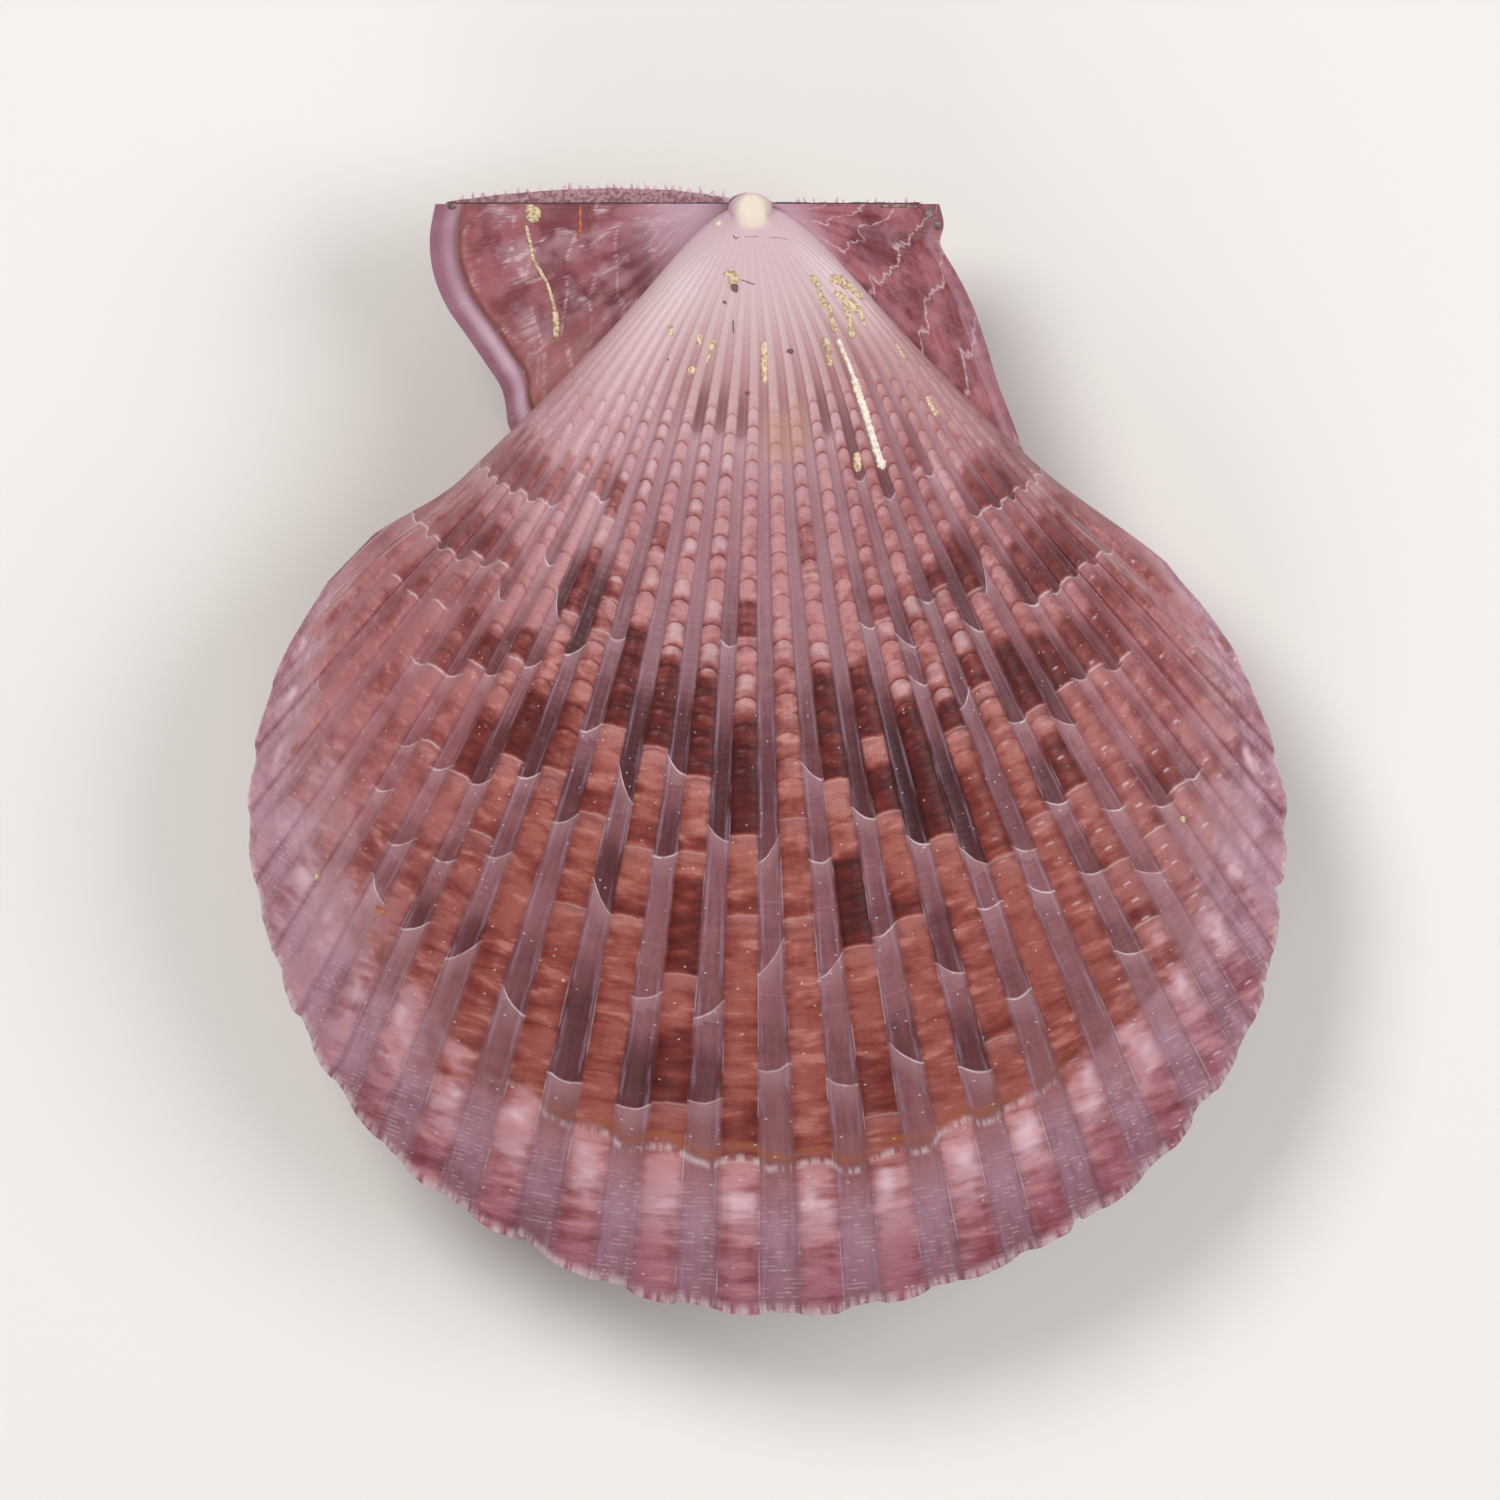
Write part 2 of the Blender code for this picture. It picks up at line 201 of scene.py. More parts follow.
# Scales along the ribs: pitch in millimetres at distances from the umbo
SCALE_START = 4.0
SCALE_REACHES = (4.0, 10.0, 16.0, 24.0, 34.0, 46.0, 58.0)
SCALE_PITCHES = (0.70, 0.88, 1.02, 1.18, 1.15, 0.90, 0.80)
SCALE_VARIATION = 0.20
SCALES_FROM = 11.0
SCALES_TO = 32.0
SCALE_HEIGHT = 0.00010
SCALE_SINK = 0.00004
SCALE_ARCH = 0.20
SCALE_ACROSS = (-0.26, -0.175, 0.0, 0.175, 0.26)
SCALE_CROWN = (0.0, 0.80, 1.0, 0.80, 0.0)
SCALE_ALONG = (0.0, 0.08, 0.28, 0.65, 1.0)
SCALE_SLOPE = (0.0, 0.85, 1.0, 0.6, 0.1)

# Dark patches on the ribs: rib, then start, end and depth of each, in millimetres
RIB_PATCHES = {
    -12: ((16.1, 19.3, 0.7), (20.2, 23.7, 0.6)),
    -11: ((16.1, 19.4, 0.8), (20.4, 23.7, 0.8), (25.6, 26.6, 0.5)),
    -10: ((16.1, 19.3, 0.9), (21.0, 23.7, 1.0), (25.4, 26.7, 0.7)),
    -9: ((16.6, 19.0, 0.9), (21.0, 23.0, 1.2), (25.4, 26.2, 0.5)),
    -8: ((15.6, 18.8, 0.8), (21.2, 22.6, 0.8), (25.2, 29.0, 1.3)),
    -7: ((15.4, 16.6, 0.5), (25.7, 27.7, 1.1), (29.8, 32.4, 0.5)),
    -6: ((15.0, 17.2, 0.7), (24.6, 26.5, 1.2), (28.9, 33.1, 1.4)),
    -5: ((15.6, 18.0, 0.7), (19.5, 23.2, 1.4), (27.3, 31.2, 1.5), (34.2, 35.4, 0.5)),
    -4: ((20.8, 21.8, 0.7), (22.7, 23.5, 0.8), (26.7, 31.0, 0.7)),
    -3: ((17.2, 18.9, 0.5), (22.2, 28.0, 1.7), (31.2, 32.6, 0.6), (36.4, 37.4, 0.5)),
    -2: ((23.6, 28.6, 1.6), (32.2, 33.8, 0.7), (36.3, 37.4, 0.7)),
    -1: ((24.2, 29.8, 1.6), (32.9, 33.7, 0.8), (34.6, 40.0, 1.3), (42.6, 46.7, 1.1)),
    0: ((20.6, 22.6, 0.9), (26.2, 32.7, 1.7), (35.4, 36.8, 0.5), (46.2, 49.6, 0.6)),
    1: ((31.0, 31.9, 0.3), (36.2, 37.0, 0.4)),
    2: ((16.8, 19.6, 0.4), (24.0, 30.2, 1.7), (33.8, 38.8, 1.8), (43.8, 47.6, 0.5)),
    3: ((24.0, 28.4, 1.6), (29.6, 32.3, 1.6), (36.1, 37.8, 1.1)),
    4: ((21.2, 22.7, 0.7), (26.6, 34.2, 1.9), (43.9, 45.0, 0.6)),
    5: ((27.6, 29.2, 1.2), (30.8, 36.2, 0.8)),
    6: ((20.8, 22.2, 0.8), (25.8, 27.7, 1.2), (33.4, 35.0, 0.4)),
    7: ((14.6, 16.4, 0.5), (20.0, 23.2, 1.3), (26.0, 30.0, 1.6), (31.4, 34.6, 1.2),
        (38.2, 39.0, 0.8), (41.4, 42.4, 0.8)),
    8: ((26.4, 29.8, 1.5), (37.6, 38.6, 0.4)),
    9: ((17.5, 20.0, 1.1), (22.0, 25.3, 1.5), (26.5, 29.9, 1.3), (34.2, 37.4, 0.9)),
    10: ((17.3, 20.2, 1.1), (21.9, 25.4, 1.4), (27.2, 30.4, 1.0)),
    11: ((17.2, 20.2, 1.0), (21.9, 25.4, 1.3)),
    12: ((17.6, 20.4, 0.6), (22.2, 25.6, 0.7)),
    13: ((17.6, 20.4, 0.5),),
}

# Dark patches in the grooves: rib before the groove, then start, end beside that rib,
# end beside the next rib and depth of each, in millimetres
GROOVE_PATCHES = {
    -13: ((16.4, 19.4, 19.4, 0.5), (20.8, 23.7, 23.7, 0.5)),
    -12: ((16.2, 19.4, 19.5, 0.6), (20.6, 23.7, 23.8, 0.6)),
    -11: ((16.2, 19.5, 19.3, 0.6), (20.6, 23.9, 23.8, 0.6), (28.6, 33.0, 33.6, 0.3)),
    -10: ((16.2, 19.3, 19.1, 0.7), (20.7, 23.8, 23.4, 0.7)),
    -9: ((16.2, 19.1, 18.9, 0.6), (20.6, 23.3, 22.7, 0.6), (26.0, 29.2, 29.0, 0.5)),
    -8: ((15.8, 18.8, 18.3, 0.6), (20.8, 23.5, 24.2, 0.6), (25.6, 28.9, 28.5, 0.9),
         (31.0, 33.3, 32.4, 0.4), (34.0, 35.8, 35.4, 0.3)),
    -7: ((14.4, 21.1, 21.3, 0.5), (23.2, 27.8, 27.5, 1.0), (29.2, 33.4, 32.8, 0.4),
         (35.4, 37.9, 37.0, 0.3), (38.8, 39.7, 40.8, 0.5)),
    -6: ((15.0, 17.2, 17.0, 0.7), (19.2, 22.3, 23.7, 1.5), (24.7, 26.6, 26.0, 0.6),
         (27.6, 33.2, 32.6, 1.2), (35.6, 37.5, 37.1, 0.4), (38.8, 41.5, 40.6, 1.0)),
    -5: ((19.0, 25.2, 24.4, 1.5), (26.4, 31.9, 31.3, 1.1), (33.6, 36.3, 35.6, 0.3),
         (38.6, 42.0, 40.5, 0.9)),
    -4: ((18.6, 23.5, 23.4, 0.3), (24.8, 28.6, 27.9, 0.7), (29.4, 33.5, 32.7, 0.8),
         (38.4, 42.3, 43.5, 0.3)),
    -3: ((9.2, 12.2, 12.2, 0.7), (24.4, 29.7, 31.6, 1.3), (32.6, 35.7, 37.4, 1.1),
         (38.8, 46.0, 46.2, 0.9)),
    -2: ((9.0, 12.0, 12.0, 0.5), (24.6, 28.8, 29.7, 1.1), (30.7, 34.0, 33.7, 0.9),
         (38.8, 41.3, 40.9, 0.3), (42.4, 47.0, 46.8, 1.1)),
    -1: ((9.4, 12.2, 12.2, 0.5), (18.0, 22.7, 22.9, 0.4), (24.8, 32.1, 33.0, 1.2),
         (37.8, 42.1, 41.1, 0.4), (42.8, 46.4, 46.2, 0.9)),
    0: ((24.4, 34.1, 32.6, 0.6), (36.4, 39.8, 37.9, 0.2), (41.2, 44.7, 44.4, 0.3)),
    1: ((24.6, 29.0, 30.0, 0.5), (31.2, 34.0, 34.0, 0.3), (36.8, 40.1, 38.9, 0.3),
        (42.0, 45.3, 45.8, 0.3)),
    2: ((24.2, 31.6, 32.4, 1.2), (35.2, 38.4, 37.8, 0.4), (41.8, 43.9, 45.2, 0.7)),
    3: ((9.6, 12.6, 12.6, 0.5), (19.6, 22.4, 22.9, 0.4), (24.4, 33.6, 34.3, 1.8),
        (36.2, 40.3, 41.2, 0.8), (42.3, 45.8, 46.4, 0.9)),
    4: ((10.8, 15.4, 15.4, 0.7), (20.6, 23.5, 24.5, 0.5), (24.9, 25.7, 26.5, 0.3),
        (27.6, 34.9, 36.2, 1.5), (37.0, 38.2, 38.2, 0.2), (40.0, 43.1, 43.0, 0.4)),
    5: ((14.2, 16.8, 16.8, 0.6), (20.0, 22.3, 22.6, 0.4), (25.4, 28.3, 27.4, 0.3),
        (31.0, 35.8, 36.4, 0.4), (36.9, 37.9, 38.8, 0.2)),
    6: ((19.4, 24.2, 25.2, 0.8), (26.8, 29.9, 30.1, 1.0), (31.2, 34.4, 34.9, 1.0),
        (35.8, 38.4, 38.9, 0.7), (40.6, 42.9, 43.6, 0.5)),
    7: ((12.6, 16.8, 16.8, 0.5), (19.6, 23.6, 22.0, 0.9), (26.4, 30.7, 31.7, 0.9),
        (33.4, 36.1, 36.6, 0.4), (38.0, 39.7, 40.5, 0.5)),
    8: ((16.8, 19.8, 19.9, 0.6), (21.9, 25.1, 25.4, 1.4), (26.4, 29.6, 30.0, 1.3),
        (34.4, 37.4, 37.8, 0.9)),
    9: ((17.0, 20.0, 20.3, 1.0), (21.9, 25.5, 25.4, 1.4), (26.6, 30.3, 30.6, 1.0),
        (34.6, 37.3, 37.4, 0.7)),
    10: ((17.0, 20.3, 20.4, 0.8), (21.9, 25.4, 25.5, 1.2)),
    11: ((17.0, 20.4, 20.4, 0.7), (22.0, 25.5, 25.8, 0.8)),
    12: ((17.2, 20.5, 20.5, 0.5), (22.4, 25.7, 25.9, 0.5)),
    13: ((17.4, 20.4, 20.4, 0.4),),
}

# The two valves: which way each domes, its height and how it rises and falls off, in metres
VALVES = {
    "upper": {"up": 1, "height": 0.0098, "rise": 0.5, "fall": 1.9, "inset": 0.0,
              "notch": NOTCH_ANTERIOR, "ear": ANTERIOR_EAR, "fold": 0.0, "seed": 3, "worn": 1.0,
              "rib_patches": RIB_PATCHES, "groove_patches": GROOVE_PATCHES},
    "lower": {"up": -1, "height": 0.0086, "rise": 0.75, "fall": 2.0, "inset": LOWER_INSET,
              "notch": NOTCH_DEEP, "ear": NOTCHED_EAR, "fold": FOLD_WIDTH, "seed": 11, "worn": 0.0,
              "rib_patches": {}, "groove_patches": {}},
}
RIB_ONSET = 0.14
GROOVE_ONSET = 0.45
FRONT_SAG = 0.22
PATCH_TAIL = 1.6
PATCH_OVERRUN = 0.3
PATCH_HANDOVER = 0.6
PATCH_LEAD = 0.3
RIB_ARCH = 0.0025
NO_EDGE = -20.0

# Colours as seen in soft light, red, green and blue from 0 to 255, with growth stages
RIB_COLORS = (
    (0.0, (200, 160, 180)), (0.03, (208, 180, 187)), (0.10, (200, 174, 176)),
    (0.16, (188, 152, 154)), (0.20, (190, 150, 153)), (0.26, (180, 132, 136)),
    (0.34, (176, 122, 124)), (0.40, (172, 116, 116)), (0.46, (168, 108, 104)),
    (0.52, (162, 96, 88)), (0.60, (154, 84, 74)), (0.72, (148, 76, 67)), (0.82, (142, 70, 62)),
    (0.85, (148, 76, 68)), (0.87, (182, 124, 126)), (0.91, (184, 134, 142)),
    (0.95, (160, 100, 110)), (1.0, (144, 82, 96)),
)
FLANK_RIB_COLORS = (
    (0.0, (200, 160, 180)), (0.03, (210, 180, 188)), (0.10, (224, 202, 204)),
    (0.18, (220, 188, 192)), (0.26, (208, 168, 173)), (0.34, (200, 156, 161)),
    (0.40, (184, 134, 138)), (0.50, (170, 114, 115)), (0.60, (164, 100, 101)),
    (0.74, (164, 102, 103)), (0.82, (172, 120, 122)), (0.86, (174, 132, 140)),
    (0.91, (175, 131, 145)), (1.0, (177, 133, 145)),
)
GROOVE_COLORS = (
    (0.0, (204, 180, 183)), (0.08, (192, 162, 164)), (0.13, (172, 132, 135)),
    (0.18, (156, 108, 110)), (0.23, (164, 124, 131)), (0.29, (148, 103, 110)),
    (0.34, (148, 106, 113)), (0.40, (138, 98, 105)), (0.48, (128, 82, 88)),
    (0.58, (126, 78, 83)), (0.68, (134, 84, 89)), (0.80, (128, 78, 82)), (0.85, (134, 82, 84)),
    (0.88, (152, 102, 108)), (0.92, (158, 116, 130)), (1.0, (134, 86, 98)),
)
FLANK_GROOVE_COLORS = (
    (0.0, (200, 160, 180)), (0.03, (210, 180, 188)), (0.10, (222, 200, 203)),
    (0.18, (212, 178, 183)), (0.26, (198, 156, 162)), (0.34, (188, 144, 151)),
    (0.40, (172, 122, 128)), (0.50, (160, 106, 109)), (0.62, (160, 102, 106)),
    (0.74, (162, 108, 112)), (0.82, (178, 132, 137)), (0.87, (186, 146, 156)),
    (0.92, (179, 137, 152)), (1.0, (181, 139, 152)),
)
RIB_ABSORPTION = (0.78, 1.55, 1.62)
GROOVE_ABSORPTION = (0.86, 1.28, 1.26)
DEEPEST_PIGMENT = 2.4
ABSORPTION_STOPS = (0.0, 0.12, 0.25, 0.4, 0.6, 0.8, 1.0)

# Each coat's palettes in the middle and on the flanks, its pigment and its patches' pale tails
COATS = {
    "ribs": (RIB_COLORS, FLANK_RIB_COLORS, RIB_ABSORPTION, 0.08),
    "grooves": (GROOVE_COLORS, FLANK_GROOVE_COLORS, GROOVE_ABSORPTION, 0.16),
}

# Noises of the disc: grains to a lane and to a millimetre, seed, detail and roughness
FAN_NOISES = {
    "threads": (9.0, 0.35, 0.0, 3.0, 0.6),
    "bands": (1.5, 1.5, 5.0, 2.5, 0.6),
    "rough": (4.0, 1.1, 2.0, 2.0, 0.55),
    "drift": (1.3, 0.45, 9.0, 2.0, 0.55),
}

# Zones of the disc, from where each begins to where it is full: by lane, by lanes aside from
# the middle, by millimetres from the umbo and by growth stage
LANE_DEEPER = (2.0, 7.0)
LANE_POSTERIOR = (3.5, 7.5)
ASIDE_DUSK = (2.0, 4.5)
ASIDE_CENTRE = (3.0, 6.0)
ASIDE_SOFT = (3.5, 7.0)
ASIDE_FLANK = (5.0, 10.5)
ASIDE_LAST = (11.5, 15.5)
REACH_SMOOTH = (4.0, 12.0)
REACH_GROWN = (8.0, 24.0)
REACH_YOUNG = (9.5, 13.0)
REACH_FRONTS = (13.0, 17.0)
REACH_OLD = (26.0, 34.0)
STAGE_DUSK = (0.885, 0.925)
# Growth stage of the painted highlight band on the ribs
HIGHLIGHT_BAND_STAGE = 0.905
FLANK_RIDGE = 12.3
LEFT_LEAD = 1.8
RIB_CUT = (-0.05, 0.22)
EDGE_RAGGEDNESS = 0.22

SHELL_SPECULAR = 0.32
FRONT_COLOR = (222, 204, 206)
PALE_COLOR = (214, 182, 188)
UMBO_CREAM = (226, 212, 196)
CHECK_COLOR = (150, 84, 52)
EAR_ROSE = (156, 94, 101)
EAR_DARK = (114, 56, 63)
EAR_PALE = (182, 142, 152)
EAR_SALMON = (180, 122, 118)
EAR_RUST = (150, 78, 66)
EAR_LILAC = (206, 172, 188)
EAR_BAND = (138, 92, 107)
EAR_BAND_PALE = (194, 162, 176)
EAR_BROWN = (112, 58, 48)
INSIDE_COLOR = (222, 196, 200)
INSIDE_ROSE = (200, 160, 170)
FOLD_PALE = (170, 128, 135)
FOLD_ROSE = (132, 86, 94)
# Painted highlight on the ribs past the growth check
HIGHLIGHT_BAND_COLOR = (228, 196, 206)
SHEEN_COLOR = (180, 148, 170)
SALMON_COLOR = (206, 142, 132)
# Painted highlight on the tops of young scales
BEAD_HIGHLIGHT_COLOR = (226, 200, 204)
STAIN_COLOR = (176, 128, 104)
FLOOR_COLOR = (226, 223, 218)
FLOOR_ROUGHNESS = 0.8
FLOOR_HALF = 1.5

# Small pieces: main and dark colour, grains to a metre, roughness, relief in millimetres and
# how far the grains are drawn out along each axis
EVEN = (1.0, 1.0, 1.0)
GRAINY = {
    "ligament": ((70, 50, 42), (40, 28, 24), 3000.0, 0.6, 0.04, (0.1, 1.0, 1.0)),
    "hinge_spines": ((228, 202, 208), (196, 150, 162), 5000.0, 0.5, 0.03, EVEN),
    "cream_crusts": ((226, 206, 172), (178, 140, 108), 6000.0, 0.7, 0.08, EVEN),
    "yellow_crusts": ((220, 204, 168), (172, 142, 108), 5500.0, 0.75, 0.10, EVEN),
    "worm_tube": ((236, 228, 214), (206, 188, 164), 5000.0, 0.55, 0.05, EVEN),
    "dark_flecks": ((122, 84, 84), (104, 88, 56), 6000.0, 0.6, 0.05, EVEN),
    "ochre_streaks": ((188, 108, 60), (160, 76, 50), 4000.0, 0.6, 0.03, EVEN),
    "corner_lumps": ((150, 128, 118), (92, 74, 68), 5000.0, 0.7, 0.08, EVEN),
}

# Studio lights: place and size in metres, power in watts and colour
LIGHTS = {
    "key": ((-0.26, 0.30, 0.55), 0.30, 2.7, (1.0, 0.985, 0.96)),
    "fill": ((0.42, 0.05, 0.45), 0.45, 2.0, (0.97, 0.98, 1.0)),
    "low": ((-0.10, -0.50, 0.35), 0.40, 0.9, (1.0, 0.99, 0.98)),
}
WORLD_COLOR = (0.9, 0.92, 0.95, 1.0)
WORLD_STRENGTH = 0.30

# Spines of each hinge side: direction, spacing, length, radius, first and last, in millimetres
SPINE_ROWS = ((-1, 0.50, 0.34, 0.11, 1.4, 15.2), (1, 0.40, 0.44, 0.08, 2.4, 9.2))
SPINE_RINGS = ((-0.3, 1.0), (0.25, 0.9), (0.75, 0.5), (1.0, 0.1))
SPINE_POINTS = 5
HINGE_PLACES = 300

# Deposits, as paths in millimetres to the right of the umbo and up from it, with widths
STRIPS = {
    "cream_crusts": (
        (((0.73, -7.35), (0.74, -8.6), (0.78, -9.5)), 0.36),
        (((-2.60, -6.95), (-2.58, -7.55)), 0.36),
        (((-2.98, -8.6), (-3.02, -9.05)), 0.50),
        (((4.10, -4.0), (4.9, -4.3), (5.8, -5.1)), 0.80),
        (((4.35, -4.7), (5.0, -5.2), (5.7, -5.8)), 0.60),
        (((5.50, -13.0), (5.52, -14.1)), 0.45),
        (((9.05, -10.1), (9.65, -11.2)), 0.38),
        (((7.5, -7.4), (8.0, -8.2)), 0.28),
        (((-10.1, -5.5), (-10.0, -7.0)), 0.34),
    ),
    "yellow_crusts": (
        (((-0.95, -3.55), (-0.85, -4.4)), 0.50),
        (((-1.35, -3.75), (-0.55, -4.05)), 0.30),
        (((-1.85, -7.25), (-2.0, -7.8)), 0.42),
        (((-2.05, -7.9), (-2.2, -8.5)), 0.18),
        (((-4.05, -6.45), (-4.1, -7.1)), 0.26),
        (((3.1, -3.85), (3.6, -4.5)), 0.34),
        (((3.5, -4.6), (3.9, -5.6)), 0.36),
        (((4.05, -5.3), (4.2, -6.2), (4.4, -6.9)), 0.30),
        (((4.8, -4.9), (5.1, -6.2), (5.3, -7.2)), 0.34),
        (((5.6, -5.4), (5.9, -6.5)), 0.26),
        (((3.85, -7.1), (4.15, -8.6)), 0.34),
        (((-22.5, -34.6), (-22.3, -35.1)), 0.28),
        (((22.25, -31.7), (22.4, -32.05)), 0.34),
        (((-11.6, -0.1), (-11.15, -0.5), (-11.35, -1.0)), 0.75),
        (((-11.6, -1.1), (-11.2, -2.9), (-10.5, -4.1), (-9.9, -6.2)), 0.18),
    ),
    "worm_tube": (
        (((4.5, -7.2), (5.2, -8.9), (5.9, -11.0), (6.4, -12.6), (6.75, -13.75)), 0.30),
        (((5.3, -9.2), (5.9, -11.0), (6.4, -12.6), (6.8, -13.9)), 0.46),
        (((6.72, -13.4), (6.8, -13.95)), 0.58),
        (((-1.61, -0.95), (-1.61, -1.25)), 0.66),
    ),
    "dark_flecks": (
        (((-1.40, -5.2), (-1.2, -5.4)), 0.18),
        (((-0.87, -6.2), (-0.85, -6.95)), 0.08),
        (((2.06, -7.7), (2.10, -8.0)), 0.42),
        (((-0.13, -9.9), (-0.14, -10.15)), 0.30),
        (((-4.2, -8.2), (-4.2, -8.35)), 0.12),
        (((-18.95, -38.3), (-18.95, -38.9)), 0.12),
        (((-0.9, -4.3), (-0.7, -4.8)), 0.42),
        (((-0.5, -4.1), (0.3, -4.4)), 0.07),
    ),
    "ochre_streaks": (
        (((-8.8, -0.1), (-8.8, -1.8)), 0.16),
        (((-0.9, -1.72), (-0.75, -1.95), (-0.5, -1.82)), 0.09),
        (((-0.3, -1.84), (0.5, -1.84)), 0.05),
        (((0.9, -1.9), (1.5, -1.88), (2.0, -2.0)), 0.05),
        (((-19.3, -36.3), (-18.8, -36.8)), 0.26),
    ),
    "corner_lumps": (
        (((9.1, -0.35), (9.5, -0.65)), 0.70),
        (((9.6, -0.9), (9.85, -1.3)), 0.36),
        (((6.7, -0.12), (8.7, -0.14)), 0.16),
        (((-15.7, -0.1), (-15.2, -0.1)), 0.35),
    ),
}
STRIP_STEP = 0.12
STRIP_POINTS = 8
STRIP_HEIGHT = 0.30


def linear(color):
    """A colour from 0 to 255 as the light that it returns."""
    shares = [channel / 255.0 for channel in color]
    light = [share / 12.92 if share <= 0.04045 else ((share + 0.055) / 1.055) ** 2.4 for share in shares]
    return (*light, 1.0)


def smoothstep(value):
    value = np.clip(value, 0.0, 1.0)
    return value * value * (3.0 - 2.0 * value)


def by_side(pair, lane):
    """The anterior value of a pair before the middle rib, and the posterior one after."""
    return np.where(lane < 0, pair[0], pair[1])


def lane_angle(lane):
    return np.interp(lane, LANES, LANE_ANGLES)


def bow(angle, reach):
    sides = BOW_SIDES * np.sin(np.radians(3.0 * angle))
    return (BOW_MIDDLE + sides) / (1.0 + (reach / BOW_FADE) ** BOW_POWER)


def edge_angle(index, reach):
    """Plan angle of the disc's anterior (0) or posterior (1) edge."""
    side = 2 * index - 1
    spread = SPREAD_ANGLE[index] * np.exp((SPREAD_START[index] - reach) / SPREAD_FADE[index])
    flare = (reach - FLARE_START[index]) / FLARE_LENGTH[index]
    flare = FLARE_ANGLE[index] * smoothstep(flare)
    return LANE_ANGLES[-index] + side * (spread + flare)


def path_angle(lane, reach):
    """Plan angle of a lane at a distance from the umbo."""
    angle = lane_angle(lane)
    path = angle + bow(angle, reach)
    for index in (0, 1):
        edge = LANE_ANGLES[-index]
        shift = edge_angle(index, reach) - edge - bow(edge, reach)
        path = path + shift * np.exp(-np.abs(angle - edge) / EDGE_INFLUENCE)
    return path


def outline_radius(turn):
    radius = DISC_RADIUS + BULGE * np.exp(-((turn - BULGE_TURN) / BULGE_SPREAD) ** 2)
    radius = radius - FLAT * np.exp(-((turn - FLAT_TURN) / FLAT_SPREAD) ** 2)
    past = np.maximum(np.abs(turn) - SHOULDER_TURN, 0.0) / by_side(SHOULDER_SPAN, turn)
    return radius - by_side(SHOULDER_CUT, turn) * past ** SHOULDER_POWER


def is_outside(lane, reach):
    turn = np.radians(path_angle(lane, reach))
    across = reach * np.sin(turn) - DISC_SIDE
    down = reach * np.cos(turn) - DISC_DROP
    place = np.degrees(np.arctan2(across, down))
    return np.hypot(across, down) > outline_radius(place)


def margin_reach(lane):
    """Distance from the umbo to the disc's margin along each lane."""
    lane = np.atleast_1d(np.asarray(lane, float))
    far = np.full(lane.shape, DISC_DROP + DISC_RADIUS + 2.0 * BULGE)
    near = far.copy()
    for _ in range(MARGIN_SEARCHES):
        outside = is_outside(lane, near) & (near > EDGE_REACH[0])
        far = np.where(outside, near, far)
        near = np.where(outside, near - BULGE, near)
    for _ in range(MARGIN_HALVINGS):
        middle = (near + far) / 2.0
        outside = is_outside(lane, middle)
        far = np.where(outside, middle, far)
        near = np.where(outside, near, middle)
    far = np.where(lane <= FIRST_LANE, EDGE_REACH[0], far)
    return np.where(lane >= LAST_LANE, EDGE_REACH[1], far)


MIDDLE_REACH = float(margin_reach(0)[0])


def stage_reach(full_reach, stage):
    share = full_reach / MIDDLE_REACH
    return MIDDLE_REACH * stage * (1.0 - (1.0 - share) * stage ** YOUNG_ROUNDNESS)


def dome(side, reach, rise, fall):
    side = np.minimum(np.abs(side), 1.0)
    reach = np.clip(reach, 0.0, 1.0)
    top = (rise / (rise + fall)) ** (1.0 / fall)
    peak = top ** rise * (1.0 - top ** fall)
    across = (1.0 - side ** SIDE_POWER) ** SIDE_ROUNDNESS
    return across * reach ** rise * (1.0 - reach ** fall) / peak


def side_of(lane):
    return lane_angle(lane) / np.abs(by_side((LANE_ANGLES[0], LANE_ANGLES[-1]), lane))


def from_rib(lane):
    """Distance in lanes to the nearest rib's middle; the disc's edges are grooves."""
    nearest = np.clip(np.round(lane), FIRST_LANE + 1, LAST_LANE - 1)
    return np.abs(lane - nearest)


def rib_half(reach):
    """Half the width of a rib's colour in lanes: widest half way to the margin."""
    young = YOUNG_NARROWING * (1.0 - smoothstep((reach / MM - 12.0) / 18.0))
    return RIB_EDGE - young - OLD_NARROWING * smoothstep((reach / MM - 36.0) / 14.0)


def rib_profile(lane):
    """1 on the middle of a rib, 0 at its rounded shoulder's foot."""
    away = from_rib(lane)
    flank = 1.0 - smoothstep((away - CREST_SHOULDER) / (CREST_FOOT - CREST_SHOULDER))
    rounding = CREST_ROUNDING * np.minimum(away / CREST_SHOULDER, 1.0) ** 2
    return flank * (1.0 - rounding) + 0.0


def rib_shift(lane, stage):
    """Rise or fall of both valves along a lane, from their interlocking ribs."""
    fade = smoothstep(np.minimum(lane - FIRST_LANE, LAST_LANE - lane) / FLANK_LANES)
    return 0.5 * RIB_RELIEF * stage * fade * (2.0 * rib_profile(lane) - 1.0)


def grain(across, along, seed, octaves=3):
    """Smooth random unevenness from about -1 to 1 over two coordinates, in steps of one."""
    across, along = np.broadcast_arrays(np.asarray(across, float), np.asarray(along, float))
    total = np.zeros(across.shape)
    for octave in range(octaves):
        values = np.random.default_rng(seed + 101 * octave).uniform(-1.0, 1.0, (GRAIN_TABLE, GRAIN_TABLE))
        column = across * 2.0 ** octave + 17.3
        row = along * 2.0 ** octave + 5.9
        left = np.floor(column).astype(int)
        top = np.floor(row).astype(int)
        right_share = smoothstep(column - left)
        low_share = smoothstep(row - top)
        corner = [values[(left + i) % GRAIN_TABLE, (top + j) % GRAIN_TABLE]
                  for j in (0, 1) for i in (0, 1)]
        upper = corner[0] + (corner[1] - corner[0]) * right_share
        lower = corner[2] + (corner[3] - corner[2]) * right_share
        total = total + (upper + (lower - upper) * low_share) / 1.6 ** octave
    return total


